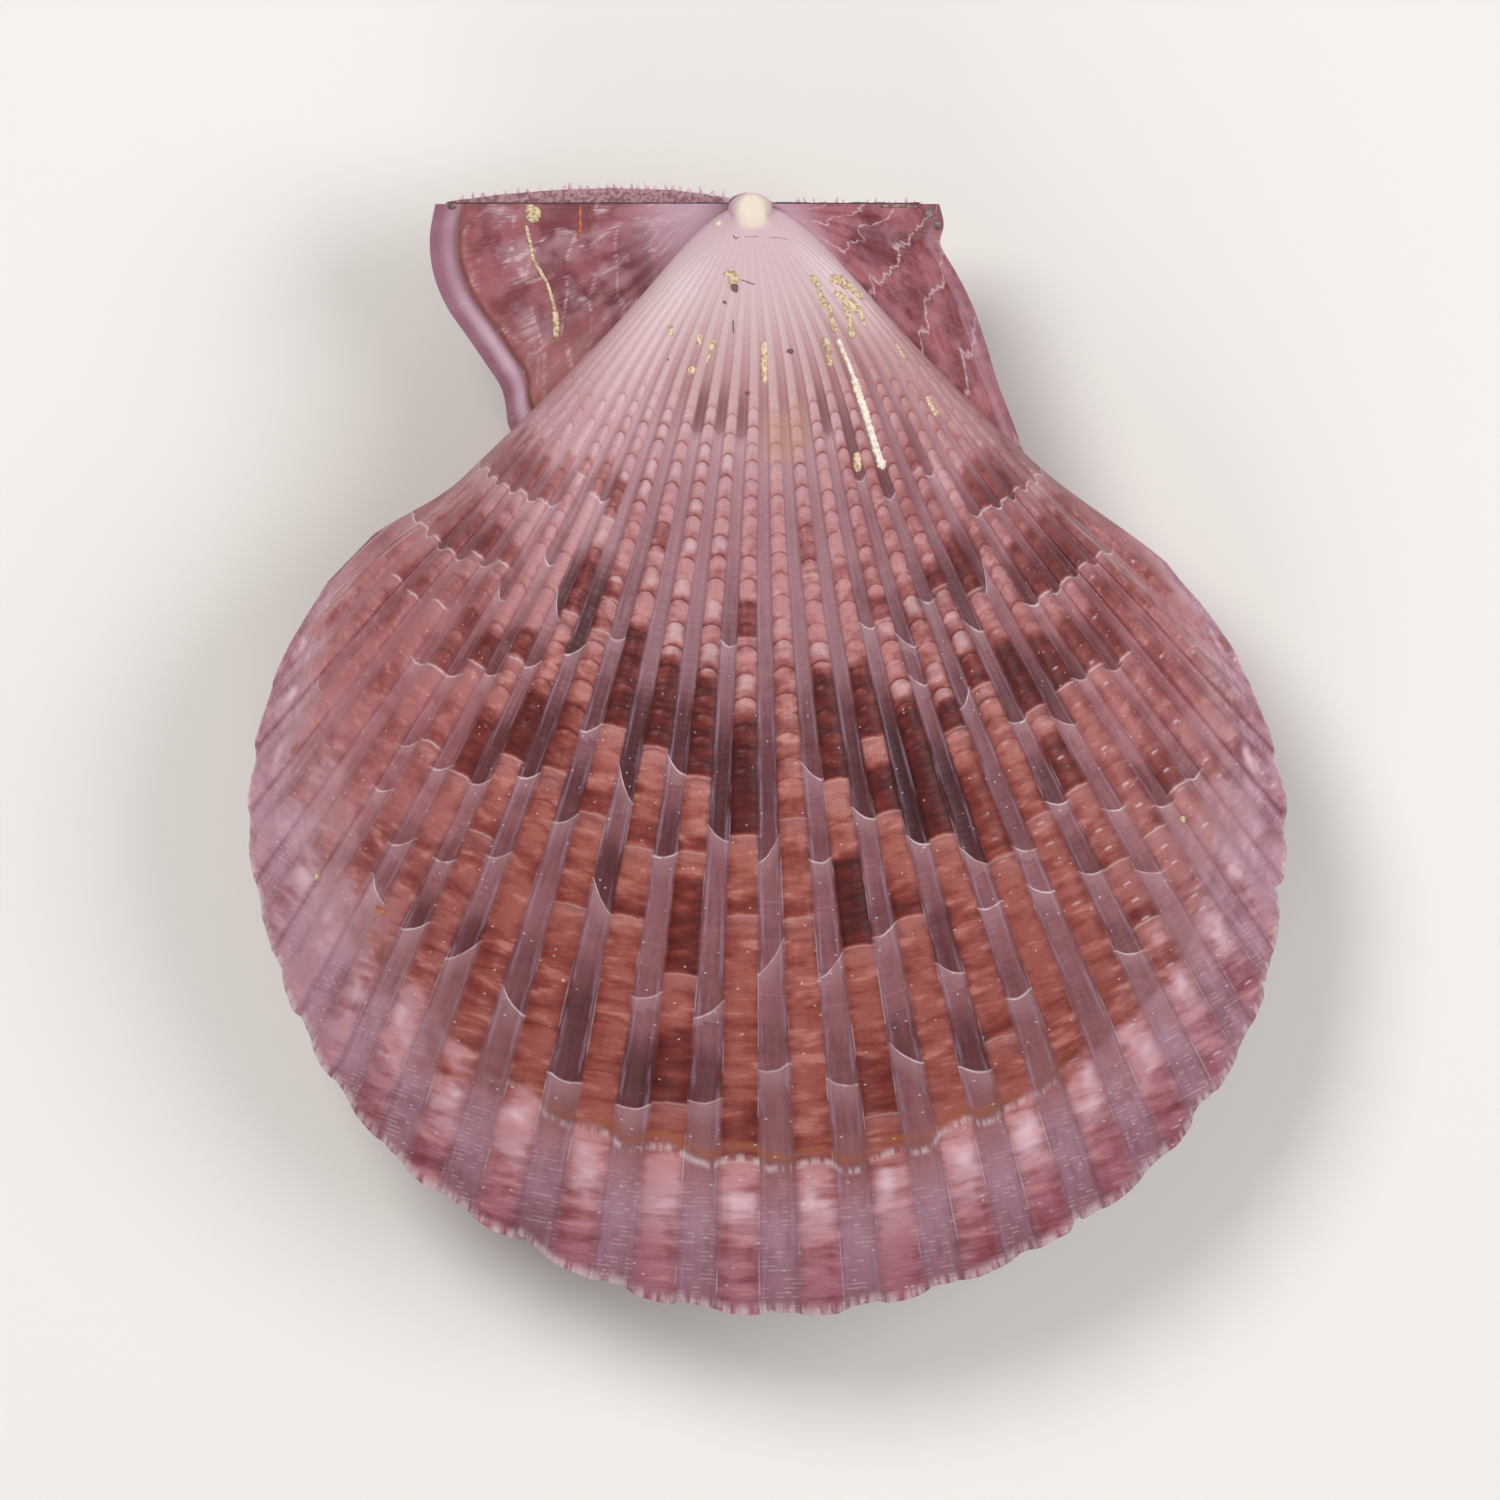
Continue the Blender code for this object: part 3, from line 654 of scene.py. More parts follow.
def read_smooth(values, place):
    """Read evenly spaced values at places from 0 to 1 along a smooth curve."""
    values = np.asarray(values)
    padded = np.concatenate(([2 * values[0] - values[1]], values, [2 * values[-1] - values[-2]]))
    step = np.clip(place, 0.0, 1.0) * (len(values) - 1)
    index = np.minimum(step.astype(int), len(values) - 2)
    share = step - index
    before, start, end, after = (padded[index + k] for k in range(4))
    line = (end - before) * share
    bend = (2 * before - 5 * start + 4 * end - after) * share ** 2
    twist = (3 * start - before - 3 * end + after) * share ** 3
    return start + 0.5 * (line + bend + twist)


def fan_columns():
    """Lane and ear fraction of each column, from the anterior hinge end to the other."""
    ear = [step / EAR_STEPS for step in range(1, EAR_STEPS + 1)]
    columns = [(FIRST_LANE, fraction) for fraction in reversed(ear)]
    columns += [(FIRST_LANE + offset, 0.0) for offset in EDGE_OFFSETS]
    for rib in range(FIRST_LANE + 1, LAST_LANE):
        columns += [(rib + offset, 0.0) for offset in RIB_OFFSETS]
    columns.append((LAST_LANE - 0.5, 0.0))
    columns += [(LAST_LANE - offset, 0.0) for offset in reversed(EDGE_OFFSETS)]
    columns += [(LAST_LANE, fraction) for fraction in ear]
    lane, fraction = np.array(columns).T
    return lane[:, None], fraction[:, None]


LANE, EAR = fan_columns()
FIRST_DISC = EAR_STEPS
LAST_DISC = len(LANE) - 1 - EAR_STEPS


def growth_stages():
    """Rows of a valve's outside, with the stages where the ears end among them."""
    stages = np.linspace(FIRST_STAGE, 1.0, OUTER_ROWS)
    for notch in (NOTCH_DEEP, NOTCH_ANTERIOR, NOTCH_POSTERIOR):
        stages[np.argmin(np.abs(stages - notch))] = notch
    return stages


STAGES = growth_stages()


def last_rows(valve):
    """Index of each column's last row: an ear ends at its notch."""
    rows = np.full(len(LANE), OUTER_ROWS - 1)
    rows[EAR[:, 0] > 0] = int(np.argmin(np.abs(STAGES - NOTCH_POSTERIOR)))
    anterior = (EAR[:, 0] > 0) & (LANE[:, 0] < 0)
    rows[anterior] = int(np.argmin(np.abs(STAGES - valve["notch"])))
    return rows


def margin_unevenness(valve, lane):
    """How far the margin stands out at each lane, in metres: scallops and small chips."""
    seed = valve["seed"]
    scallop = MARGIN_SCALLOPS * rib_profile(lane) - MARGIN_SCALLOPS / 2.0
    slow = MARGIN_WAVES * grain(0.7 * lane, 0.0, seed)
    rough = MARGIN_ROUGHNESS * grain(5.0 * lane, 0.0, seed + 1)
    bites = -MARGIN_BITES * smoothstep((grain(2.3 * lane, 9.0, seed + 2) - 0.75) / 0.5)
    inside = smoothstep(np.minimum(lane - FIRST_LANE, LAST_LANE - lane) / 0.5)
    return (scallop + slow + rough + bites) * inside


def fan_plan(valve, lane, ear, stage):
    """Plan place from the umbo, with the reach and the share of the way to the margin."""
    full = margin_reach(lane) - valve["inset"]
    full = full + margin_unevenness(valve, lane) * smoothstep((stage - 0.94) / 0.06)
    side = np.where(lane < 0, -1.0, 1.0)
    reach = stage_reach(full, stage)
    angle = path_angle(lane, reach)
    notch = np.where(lane < 0, valve["notch"], NOTCH_POSTERIOR)
    share = reach / stage_reach(full, notch)
    margin = np.where(lane < 0, read_smooth(valve["ear"], ear), read_smooth(POSTERIOR_EAR, ear))
    angle = np.where(ear > 0, angle + (side * 90.0 - angle) * ear, angle)
    distance = np.where(ear > 0, share * margin, reach)
    turn = np.radians(angle)
    x = distance * np.sin(turn)
    y = -distance * np.cos(turn)
    along = np.sin(np.pi * np.clip(FOLD_SPAN * share ** FOLD_LEAN, 0.0, 1.0)) ** FOLD_POWER
    folded = np.clip((ear - FOLD_START) / (1.0 - FOLD_START), 0.0, 1.0) * (lane < 0)
    return x, y + valve["fold"] * along * folded, reach, share


def check_stage(lane):
    """Growth stage of the check along each lane: later towards the sides."""
    sides = CHECK_SIDE_DELAY * smoothstep((np.abs(lane) - 5.0) / 8.0)
    grooves = CHECK_GROOVE_DELAY * (1.0 - rib_profile(lane))
    return CHECK_STAGE + sides + grooves + 0.004 * grain(1.7 * lane, 3.0, 5)


def outer_heights(valve, lane, ear, stage):
    """Height of a valve's outside over the commissure, without its ribs."""
    thickness = MARGIN_THICKNESS + (UMBO_THICKNESS - MARGIN_THICKNESS) * (1.0 - stage)
    margin = margin_reach(lane)
    rise = dome(side_of(lane), stage_reach(margin, stage) / margin, valve["rise"], valve["fall"])
    rise = np.where(ear > 0, HINGE_RECESS * ear, valve["height"] * rise)
    return VALVE_GAP / 2.0 + thickness + rise


def inner_heights(valve, lane, ear, stage):
    """Height of a valve's inside over the commissure."""
    margin = margin_reach(lane)
    full = stage_reach(margin, stage)
    recess = np.maximum(ear * ear, 1.0 - full / UMBO_RECESS_REACH)
    reach = (full / margin - CAVITY_START) / (CAVITY_END - CAVITY_START)
    depth = dome(side_of(lane) / CAVITY_SIDE, reach, valve["rise"], valve["fall"])
    depth = np.where(ear > 0, 0.0, (valve["height"] - WALL) * depth)
    return VALVE_GAP / 2.0 + HINGE_RECESS * recess + depth


def disc_relief(valve, lane, stage):
    """Fine rise and fall of the disc: the ledge at the growth check and unevenness."""
    seed = valve["seed"]
    ledge = smoothstep((stage - check_stage(lane)) / CHECK_WIDTH)
    relief = -CHECK_DROP * ledge * smoothstep((1.0 - stage) / 0.1 + 0.2)
    relief = relief + SLOW_RELIEF * grain(0.8 * lane, 30.0 * stage, seed) * stage
    fine = FINE_RELIEF * grain(0.3 * lane, 110.0 * stage, seed + 3)
    relief = relief + fine * smoothstep(stage / 0.5)
    return relief * smoothstep(np.minimum(lane - FIRST_LANE, LAST_LANE - lane) / 1.5)


def ear_relief(valve, lane, ear, share):
    """Fine rise and fall of an ear: radial riblets, growth folds and the newest band."""
    seed = valve["seed"]
    grown = smoothstep((share - 0.25) / 0.25)
    turn = 2.0 * math.pi * EAR_RIBLETS * ear + 0.8 * grain(3.0 * share, ear, seed)
    riblets = RIBLET_HEIGHT * np.sin(turn)
    folds = EAR_FOLD_HEIGHT * grain(2.0 * ear, 22.0 * share, seed + 1)
    step = EAR_LINE_RISE * np.exp(-((share - EAR_LINE + 0.01) / 0.012) ** 2)
    step = step - EAR_BAND_DROP * smoothstep((share - EAR_LINE) / 0.015)
    step = np.where(lane < 0, step, 0.4 * step)
    inner = smoothstep(ear / 0.08) * smoothstep((1.0 - ear) / 0.08 + 0.15)
    return ((riblets + folds) * grown + step) * inner


def outer_points(valve, lane, ear, stage):
    """Places on a valve's outside in metres, with the reach and the share."""
    x, y, reach, share = fan_plan(valve, lane, ear, stage)
    fine = np.where(ear > 0, ear_relief(valve, lane, ear, share), disc_relief(valve, lane, stage))
    height = outer_heights(valve, lane, ear, stage) + fine
    z = COMMISSURE_Z + valve["up"] * height + np.where(ear > 0, 0.0, rib_shift(lane, stage))
    return np.stack([UMBO_X + x, UMBO_Y + y, np.maximum(z, 0.0)], axis=-1), reach, share


def inner_points(valve, lane, ear, stage):
    """Places on a valve's inside in metres, smooth except near the margin."""
    x, y, _, _ = fan_plan(valve, lane, ear, stage)
    ribs = rib_shift(lane, stage) * smoothstep((stage - 0.85) / 0.15)
    z = COMMISSURE_Z + valve["up"] * inner_heights(valve, lane, ear, stage)
    z = z + np.where(ear > 0, 0.0, ribs)
    return np.stack([UMBO_X + x, UMBO_Y + y, np.maximum(z, 0.0)], axis=-1)


def round_beak(valve, points):
    """Draw the rows before the beak's stage towards its tip, as a rounded knob."""
    tip = np.array([UMBO_X, UMBO_Y + BEAK_OVERHANG, COMMISSURE_Z + valve["up"] * BEAK_HEIGHT])
    row = int(np.searchsorted(STAGES, BEAK_STAGE))
    ring = points[:, row]
    for index in range(row):
        turn = STAGES[index] / STAGES[row] * math.pi / 2.0
        spread = np.array([math.sin(turn), 1.0 - math.cos(turn), 1.0 - math.cos(turn)])
        points[:, index] = tip + (ring - tip) * spread
    return tip


def read_patches(growth, across, patches, onset, sag):
    """Pigment depth and distance in millimetres to the closing edge of each place."""
    pigment = np.zeros_like(growth)
    edge = np.full_like(growth, NO_EDGE)
    taken = -np.inf
    for start, left, right, depth in patches:
        end = left + (right - left) * across + sag * 4.0 * across * (1.0 - across)
        own = growth > np.maximum(taken, start - PATCH_LEAD)
        ramp = smoothstep((growth - start) / ((end - start) * onset + onset))
        body = np.where(growth < end + PATCH_OVERRUN, depth * ramp, 0.0)
        pigment = np.where(own, body, pigment)
        edge = np.where(own, end - growth, edge)
        taken = end + PATCH_HANDOVER
    return pigment, edge


def pattern(valve, lane, reach):
    """Pigment and patch edges of the ribs and of the grooves at places of the disc."""
    lane, reach = np.broadcast_arrays(lane, reach)
    fields = np.zeros((4, *reach.shape))
    fields[1] = fields[3] = NO_EDGE
    growth = reach / MM
    ribs = np.clip(np.round(lane), FIRST_LANE + 1, LAST_LANE - 1)
    arch = RIB_ARCH * np.maximum(0.0, 1.0 - (from_rib(lane) / RIB_EDGE) ** 2)
    for rib, patches in valve["rib_patches"].items():
        own = ribs == rib
        spots = [(start, end, end, depth) for start, end, depth in patches]
        fields[:2, own] = read_patches((growth * (1.0 + arch))[own], 0.5, spots, RIB_ONSET, 0.0)
    grooves = np.clip(np.floor(lane), FIRST_LANE, LAST_LANE - 1)
    across = np.clip((lane - grooves - RIB_EDGE) / (1.0 - 2.0 * RIB_EDGE), 0.0, 1.0)
    for groove, patches in valve["groove_patches"].items():
        own = grooves == groove
        fields[2:, own] = read_patches(growth[own], across[own], patches, GROOVE_ONSET, FRONT_SAG)
    return fields


def scale_places(valve, rib):
    """Distances in millimetres from the umbo at which a rib's scales begin."""
    rng = np.random.default_rng(1000 * valve["seed"] + rib - FIRST_LANE)
    places = [SCALE_START + rng.uniform(0.0, SCALE_PITCHES[0])]
    while places[-1] < SCALE_REACHES[-1]:
        pitch = np.interp(places[-1], SCALE_REACHES, SCALE_PITCHES)
        places.append(places[-1] + pitch * rng.uniform(1.0 - SCALE_VARIATION, 1.0 + SCALE_VARIATION))
    return places


def scale_phase(valve, lane, reach):
    """Count of the scales passed along the nearest rib."""
    lane, reach = np.broadcast_arrays(lane, reach)
    phase = np.zeros(reach.shape)
    for rib in range(FIRST_LANE, LAST_LANE + 1):
        places = scale_places(valve, rib)
        own = np.round(lane) == rib
        phase[own] = np.interp(reach[own] / MM, places, np.arange(len(places)))
    return phase


def window(value, ends, blur):
    """1 between two ends, 0 outside them, with soft edges inside."""
    return smoothstep((value - ends[0]) / blur) * smoothstep((ends[1] - value) / blur)


def looks(valve, lane, reach, x, y):
    """Slow blotches, the worn cream knob of the umbo and the olive stain."""
    blotch = 0.6 * grain(0.9 * lane, 450.0 * reach, valve["seed"] + 7)
    away = np.hypot((x / MM - KNOB_X) / KNOB_WIDTH, (y / MM - KNOB_Y) / KNOB_LENGTH)
    cream = 1.0 - smoothstep((away - 0.65) / 0.45)
    growth = reach / MM + 0.5 * grain(lane, 0.0, 8)
    stain = window(lane, STAIN_LANES, 0.4) * window(growth, STAIN_REACH, 0.5)
    return blotch, cream * valve["worn"], stain * valve["worn"]


def disc_layers(valve, lane, stage, points, reach):
    """What the disc's material reads at each place, as named layers of three numbers."""
    lane, stage = np.broadcast_arrays(lane, stage, reach)[:2]
    check = check_stage(lane)
    before = stage * CHECK_STAGE / check
    after = 1.0 - (1.0 - stage) * (1.0 - CHECK_STAGE) / (1.0 - check)
    rib_pigment, rib_edge, groove_pigment, groove_edge = pattern(valve, lane, reach)
    away = from_rib(lane) * RIB_EDGE / rib_half(reach)
    layers = {
        "growth": (lane, np.where(stage < check, before, after), reach / MM),
        "ribs": (rib_pigment, rib_edge, scale_phase(valve, lane, reach)),
        "grooves": (groove_pigment, groove_edge, away),
        "look": looks(valve, lane, reach, points[..., 0] - UMBO_X, points[..., 1] - UMBO_Y),
    }
    return {label: np.stack(fields, axis=-1) for label, fields in layers.items()}


def grid_faces(index, last):
    """Quads between neighbouring columns of a grid of vertex numbers."""
    faces = []
    for column in range(index.shape[0] - 1):
        shared = min(last[column], last[column + 1])
        left = index[column, :shared + 1].tolist()
        right = index[column + 1, :shared + 1].tolist()
        faces += zip(left[:-1], left[1:], right[1:], right[:-1])
    return faces


def rim_path(index, last, stages):
    """The grid's edge from hinge end to hinge end, as places along it and vertices."""
    bottom = index.shape[1] - 1
    legs = (
        (0, range(last[0] + 1)),
        (range(1, FIRST_DISC + 1), last[0]),
        (FIRST_DISC, range(last[0] + 1, bottom + 1)),
        (range(FIRST_DISC + 1, LAST_DISC + 1), bottom),
        (LAST_DISC, range(bottom - 1, last[-1] - 1, -1)),
        (range(LAST_DISC + 1, len(LANE)), last[-1]),
        (len(LANE) - 1, range(last[-1] - 1, -1, -1)),
    )
    path = []
    for number, (column, row) in enumerate(legs):
        start = LEG_LENGTH * number
        if isinstance(row, range):
            sign = 1.0 if row.step > 0 else -1.0
            path += [(start + sign * stages[place], index[column, place]) for place in row]
        else:
            path += [(start + place, index[place, row]) for place in column]
    return path


def zip_paths(outer, inner):
    """Triangles between two paths that run side by side."""
    faces = []
    i = j = 0
    while i < len(outer) - 1 or j < len(inner) - 1:
        step_outer = j == len(inner) - 1
        if i < len(outer) - 1 and j < len(inner) - 1:
            step_outer = outer[i + 1][0] <= inner[j + 1][0]
        if step_outer:
            faces.append((outer[i][1], outer[i + 1][1], inner[j][1]))
            i += 1
        else:
            faces.append((outer[i][1], inner[j + 1][1], inner[j][1]))
            j += 1
    return faces


def store(mesh, name, values):
    """Keep three numbers for each vertex, for the material to read."""
    layer = mesh.attributes.new(name, "FLOAT_VECTOR", "POINT")
    layer.data.foreach_set("vector", np.asarray(values, np.float32).ravel())


def link_mesh(name, vertices, faces, materials, smooth_angle=VALVE_SMOOTH_ANGLE):
    """A new mesh piece with outward faces."""
    mesh = bpy.data.meshes.new(name)
    mesh.from_pydata(vertices, [], faces)
    for material in materials:
        mesh.materials.append(material)
    work = bmesh.new()
    work.from_mesh(mesh)
    bmesh.ops.recalc_face_normals(work, faces=work.faces[:])
    work.to_mesh(mesh)
    work.free()
    mesh.shade_smooth()
    mesh.set_sharp_from_angle(angle=math.radians(smooth_angle))
    piece = bpy.data.objects.new(name, mesh)
    bpy.context.scene.collection.objects.link(piece)
    return piece


def build_valve(name, valve, materials):
    """One closed valve mesh, with the coordinates that its materials read."""
    last = last_rows(valve)
    rows = sorted(set(range(0, OUTER_ROWS, INNER_ROW_STEP)) | {OUTER_ROWS - 1, *last.tolist()})
    inner_stages = STAGES[rows]
    outside, reach, share = outer_points(valve, LANE, EAR, STAGES[None, :])
    inside = inner_points(valve, LANE, EAR, inner_stages[None, :])
    tip = round_beak(valve, outside)
    hinge = VALVE_GAP / 2.0 + HINGE_RECESS
    inner_tip = np.array([UMBO_X, UMBO_Y, COMMISSURE_Z + valve["up"] * hinge])

    inner_last = np.array([rows.index(row) for row in last])
    keep = np.arange(OUTER_ROWS)[None, :] <= last[:, None]
    inner_keep = np.arange(len(rows))[None, :] <= inner_last[:, None]
    index = np.full(keep.shape, -1)
    index[keep] = np.arange(keep.sum())
    inner_index = np.full(inner_keep.shape, -1)
    inner_index[inner_keep] = keep.sum() + np.arange(inner_keep.sum())
    total = int(keep.sum() + inner_keep.sum())
    vertices = np.concatenate([outside[keep], inside[inner_keep], [tip], [inner_tip]])

    faces = grid_faces(index, last)
    ring = index[:, 0].tolist()
    faces += [(total, left, right) for left, right in zip(ring, ring[1:])]
    outer_faces = len(faces)
    faces += grid_faces(inner_index, inner_last)
    ring = inner_index[:, 0].tolist()
    faces += [(total + 1, left, right) for left, right in zip(ring, ring[1:])]
    outer_path = [(-1.0, total), *rim_path(index, last, STAGES), (PATH_END, total)]
    inner_path = [(-1.0, total + 1), *rim_path(inner_index, inner_last, inner_stages),
                  (PATH_END, total + 1)]
    faces += zip_paths(outer_path, inner_path)
    piece = link_mesh(name, vertices.tolist(), faces, materials)

    on_ear = np.broadcast_to(EAR > 0, keep.shape)[keep]
    own = np.full(len(faces), 2)
    for number, face in enumerate(faces[:outer_faces]):
        own[number] = int(any(vertex < len(on_ear) and on_ear[vertex] for vertex in face))
    piece.data.polygons.foreach_set("material_index", own.astype(np.int32))

    layers = disc_layers(valve, LANE, STAGES[None, :], outside, reach)
    ears = np.broadcast_arrays(share, EAR, LANE)
    layers["ears"] = np.stack(ears, axis=-1)
    rest = total + 2 - int(keep.sum())
    for label, values in layers.items():
        store(piece.data, label, np.concatenate([values[keep], np.zeros((rest, 3))]))
    return piece


def lofts(name, solids, material, layers=None):
    """One piece of many closed solids, each an array of sections by points by three."""
    vertices = []
    faces = []
    for solid in solids:
        start = sum(len(part) for part in vertices)
        sections, points = solid.shape[:2]
        vertices.append(solid.reshape(-1, 3))
        for section in range(sections - 1):
            for point in range(points):
                base = start + section * points
                here, after = base + point, base + (point + 1) % points
                faces.append((here, after, after + points, here + points))
        faces.append(tuple(range(start, start + points)))
        faces.append(tuple(range(start + (sections - 1) * points, start + sections * points)))
    piece = link_mesh(name, np.concatenate(vertices).tolist(), faces, [material], SMALL_SMOOTH_ANGLE)
    for label, values in (layers or {}).items():
        store(piece.data, label, values)
    return piece


def build_scales(name, valve, material):
    """The domed scales along the ribs, as low closed solids; none where the shell rests."""
    lanes = []
    reaches = []
    lifts = []
    for rib in range(FIRST_LANE + 1, LAST_LANE):
        places = np.array(scale_places(valve, rib))
        flank = float(smoothstep((abs(rib) - 7.0) / 5.0))
        first = SCALES_FROM + 2.5 * flank
        last = SCALES_TO - 4.0 * flank
        for start, end in zip(places, places[1:]):
            if not first < start < last:
                continue
            grown = smoothstep((start - first) / 3.0) * smoothstep((last - start) / 5.0)
            height = SCALE_HEIGHT * (0.35 + 0.65 * float(grown)) * (1.0 - 0.6 * flank)
            across = np.array(SCALE_ACROSS)[None, :] * float(rib_half(start * MM)) / RIB_EDGE
            along = np.array(SCALE_ALONG)[:, None]
            bowed = SCALE_ARCH * (across / RIB_EDGE) ** 2
            reaches.append(start + (end - start) * (bowed + along))
            lanes.append(np.broadcast_to(rib + across, reaches[-1].shape))
            dome_shape = np.array(SCALE_CROWN)[None, :] * np.array(SCALE_SLOPE)[:, None]
            lifts.append(height * dome_shape - SCALE_SINK)
    lane = np.array(lanes)
    wanted = np.array(reaches) * MM
    lift = np.array(lifts)
    stage = stage_at(valve, lane, wanted)
    points, reach, _ = outer_points(valve, lane, np.zeros_like(lane), stage)
    points[..., 2] += valve["up"] * lift
    unworn = points[..., 2].min(axis=(1, 2)) > 0.0
    points, lane, stage, reach = points[unworn], lane[unworn], stage[unworn], reach[unworn]
    layers = disc_layers(valve, lane, stage, points, reach)
    layers = {label: values.reshape(-1, 3) for label, values in layers.items()}
    return lofts(name, list(points), material, layers)


def stage_at(valve, lane, reach):
    """Growth stage at which each lane has a reach."""
    stages = np.linspace(0.0, 1.0, 201)
    stage = np.zeros_like(reach)
    for value in np.unique(lane):
        full = margin_reach(value) - valve["inset"]
        own = lane == value
        stage[own] = np.interp(reach[own], stage_reach(full, stages), stages)
    return stage


def wired(operation, swapped=False):
    """An arithmetic operator that wires a math node."""
    def act(self, other=0.0):
        first, second = (other, self) if swapped else (self, other)
        return self.nodes.math(operation, first, second)
    return act


class Value:
    """A number or a colour in a material; arithmetic on it wires the material's nodes."""

    __add__ = wired("ADD")
    __radd__ = wired("ADD", swapped=True)
    __sub__ = wired("SUBTRACT")
    __rsub__ = wired("SUBTRACT", swapped=True)
    __mul__ = wired("MULTIPLY")
    __truediv__ = wired("DIVIDE")
    __pow__ = wired("POWER")
    __abs__ = wired("ABSOLUTE")
    floor = wired("FLOOR")
    round = wired("ROUND")
    fraction = wired("FRACT")
    sine = wired("SINE")
    at_most = wired("MINIMUM")
    at_least = wired("MAXIMUM")

    def __init__(self, nodes, socket):
        self.nodes = nodes
        self.socket = socket

    def step(self, low, high):
        """0 up to low, 1 from high on, smooth between."""
        inputs = {"Value": self, "From Min": low, "From Max": high}
        return self.nodes.wire("MapRange", "Result", inputs, interpolation_type="SMOOTHSTEP")

    def fall(self, low, high):
        """1 up to low, 0 from high on, smooth between."""
        return 1.0 - self.step(low, high)

    def near(self, middle, width):
        """1 at a middle, down to 0 at a width from it."""
        return abs(self - middle).fall(0.0, width)

    def uneven(self, gain):
        """A noise from 0 to 1, as unevenness round 0."""
        return (self - 0.5) * gain

    def towards(self, color, share):
        """The colour with a share of another over it."""
        return self.nodes.mix(share, self, color)


class Nodes:
    """A procedural material, with short ways to wire it."""

    def __init__(self, name):
        self.material = bpy.data.materials.new(name)
        self.material.use_nodes = True
        self.tree = self.material.node_tree
        self.shader = self.tree.nodes["Principled BSDF"]

    def plug(self, socket, value):
        """Give a socket a value of the material, a plain number or a colour from 0 to 255."""
        if isinstance(value, Value):
            self.tree.links.new(value.socket, socket)
        elif socket.type == "RGBA":
            socket.default_value = linear(value)
        else:
            socket.default_value = value

    def wire(self, kind, output, inputs, **settings):
        """What a new node of a kind gives, from its inputs by name or number."""
        node = self.tree.nodes.new("ShaderNode" + kind)
        for label, setting in settings.items():
            setattr(node, label, setting)
        for label, value in inputs.items():
            self.plug(node.inputs[label], value)
        return Value(self, node.outputs[output])

    def math(self, operation, first, second, clamp=False):
        return self.wire("Math", 0, {0: first, 1: second}, operation=operation, use_clamp=clamp)

    def mix(self, share, first, second, blend="MIX"):
        inputs = {"Factor": share, "A": first, "B": second}
        return self.wire("Mix", "Result", inputs, data_type="RGBA", blend_type=blend)

    def vector(self, x, y, z=0.0):
        return self.wire("CombineXYZ", 0, {0: x, 1: y, 2: z})

    def parts(self, vector):
        """A vector's three numbers."""
        split = self.tree.nodes.new("ShaderNodeSeparateXYZ")
        self.plug(split.inputs[0], vector)
        return [Value(self, socket) for socket in split.outputs]

    def attribute(self, name):
        """The three numbers that a mesh keeps under a name."""
        return self.parts(self.wire("Attribute", "Vector", {}, attribute_name=name))

    def position(self):
        return self.wire("TexCoord", "Object", {})

    def noise(self, vector, scale, detail=3.0, roughness=0.55):
        inputs = {"Vector": vector, "Scale": scale, "Detail": detail, "Roughness": roughness}
        return self.wire("TexNoise", "Fac", inputs)

    def cracks(self, vector):
        """Distance to the edges of random cells."""
        return self.wire("TexVoronoi", "Distance", {"Vector": vector, "Scale": 1.0},
                         feature="DISTANCE_TO_EDGE")

    def dice(self, vector):
        """A random number for each whole place."""
        return self.wire("TexWhiteNoise", "Value", {"Vector": vector})

    def ramp(self, place, stops):
        """Colours by place, from stops of a place and a colour."""
        return self.lay_ramp(place, [(where, linear(color)) for where, color in stops])

    def absorb(self, pigment, absorption):
        """What a pigment of some depth lets through."""
        stops = []
        for share in ABSORPTION_STOPS:
            clear = [math.exp(-part * share * DEEPEST_PIGMENT) for part in absorption]
            stops.append((share, (*clear, 1.0)))
        return self.lay_ramp(pigment / DEEPEST_PIGMENT, stops)

    def lay_ramp(self, place, stops):
        node = self.tree.nodes.new("ShaderNodeValToRGB")
        elements = node.color_ramp.elements
        elements.remove(elements[1])
        elements[0].position, elements[0].color = stops[0]
        for where, light in stops[1:]:
            elements.new(where).color = light
        self.plug(node.inputs["Fac"], place)
        return Value(self, node.outputs["Color"])

    def finish(self, color, roughness, relief, specular=0.5):
        """Set the shader; the relief is a height in millimetres."""
        bump = self.wire("Bump", "Normal", {"Strength": 1.0, "Distance": MM, "Height": relief})
        for label, value in (("Base Color", color), ("Roughness", roughness),
                             ("Specular IOR Level", specular), ("Normal", bump)):
            self.plug(self.shader.inputs[label], value)
        return self.material


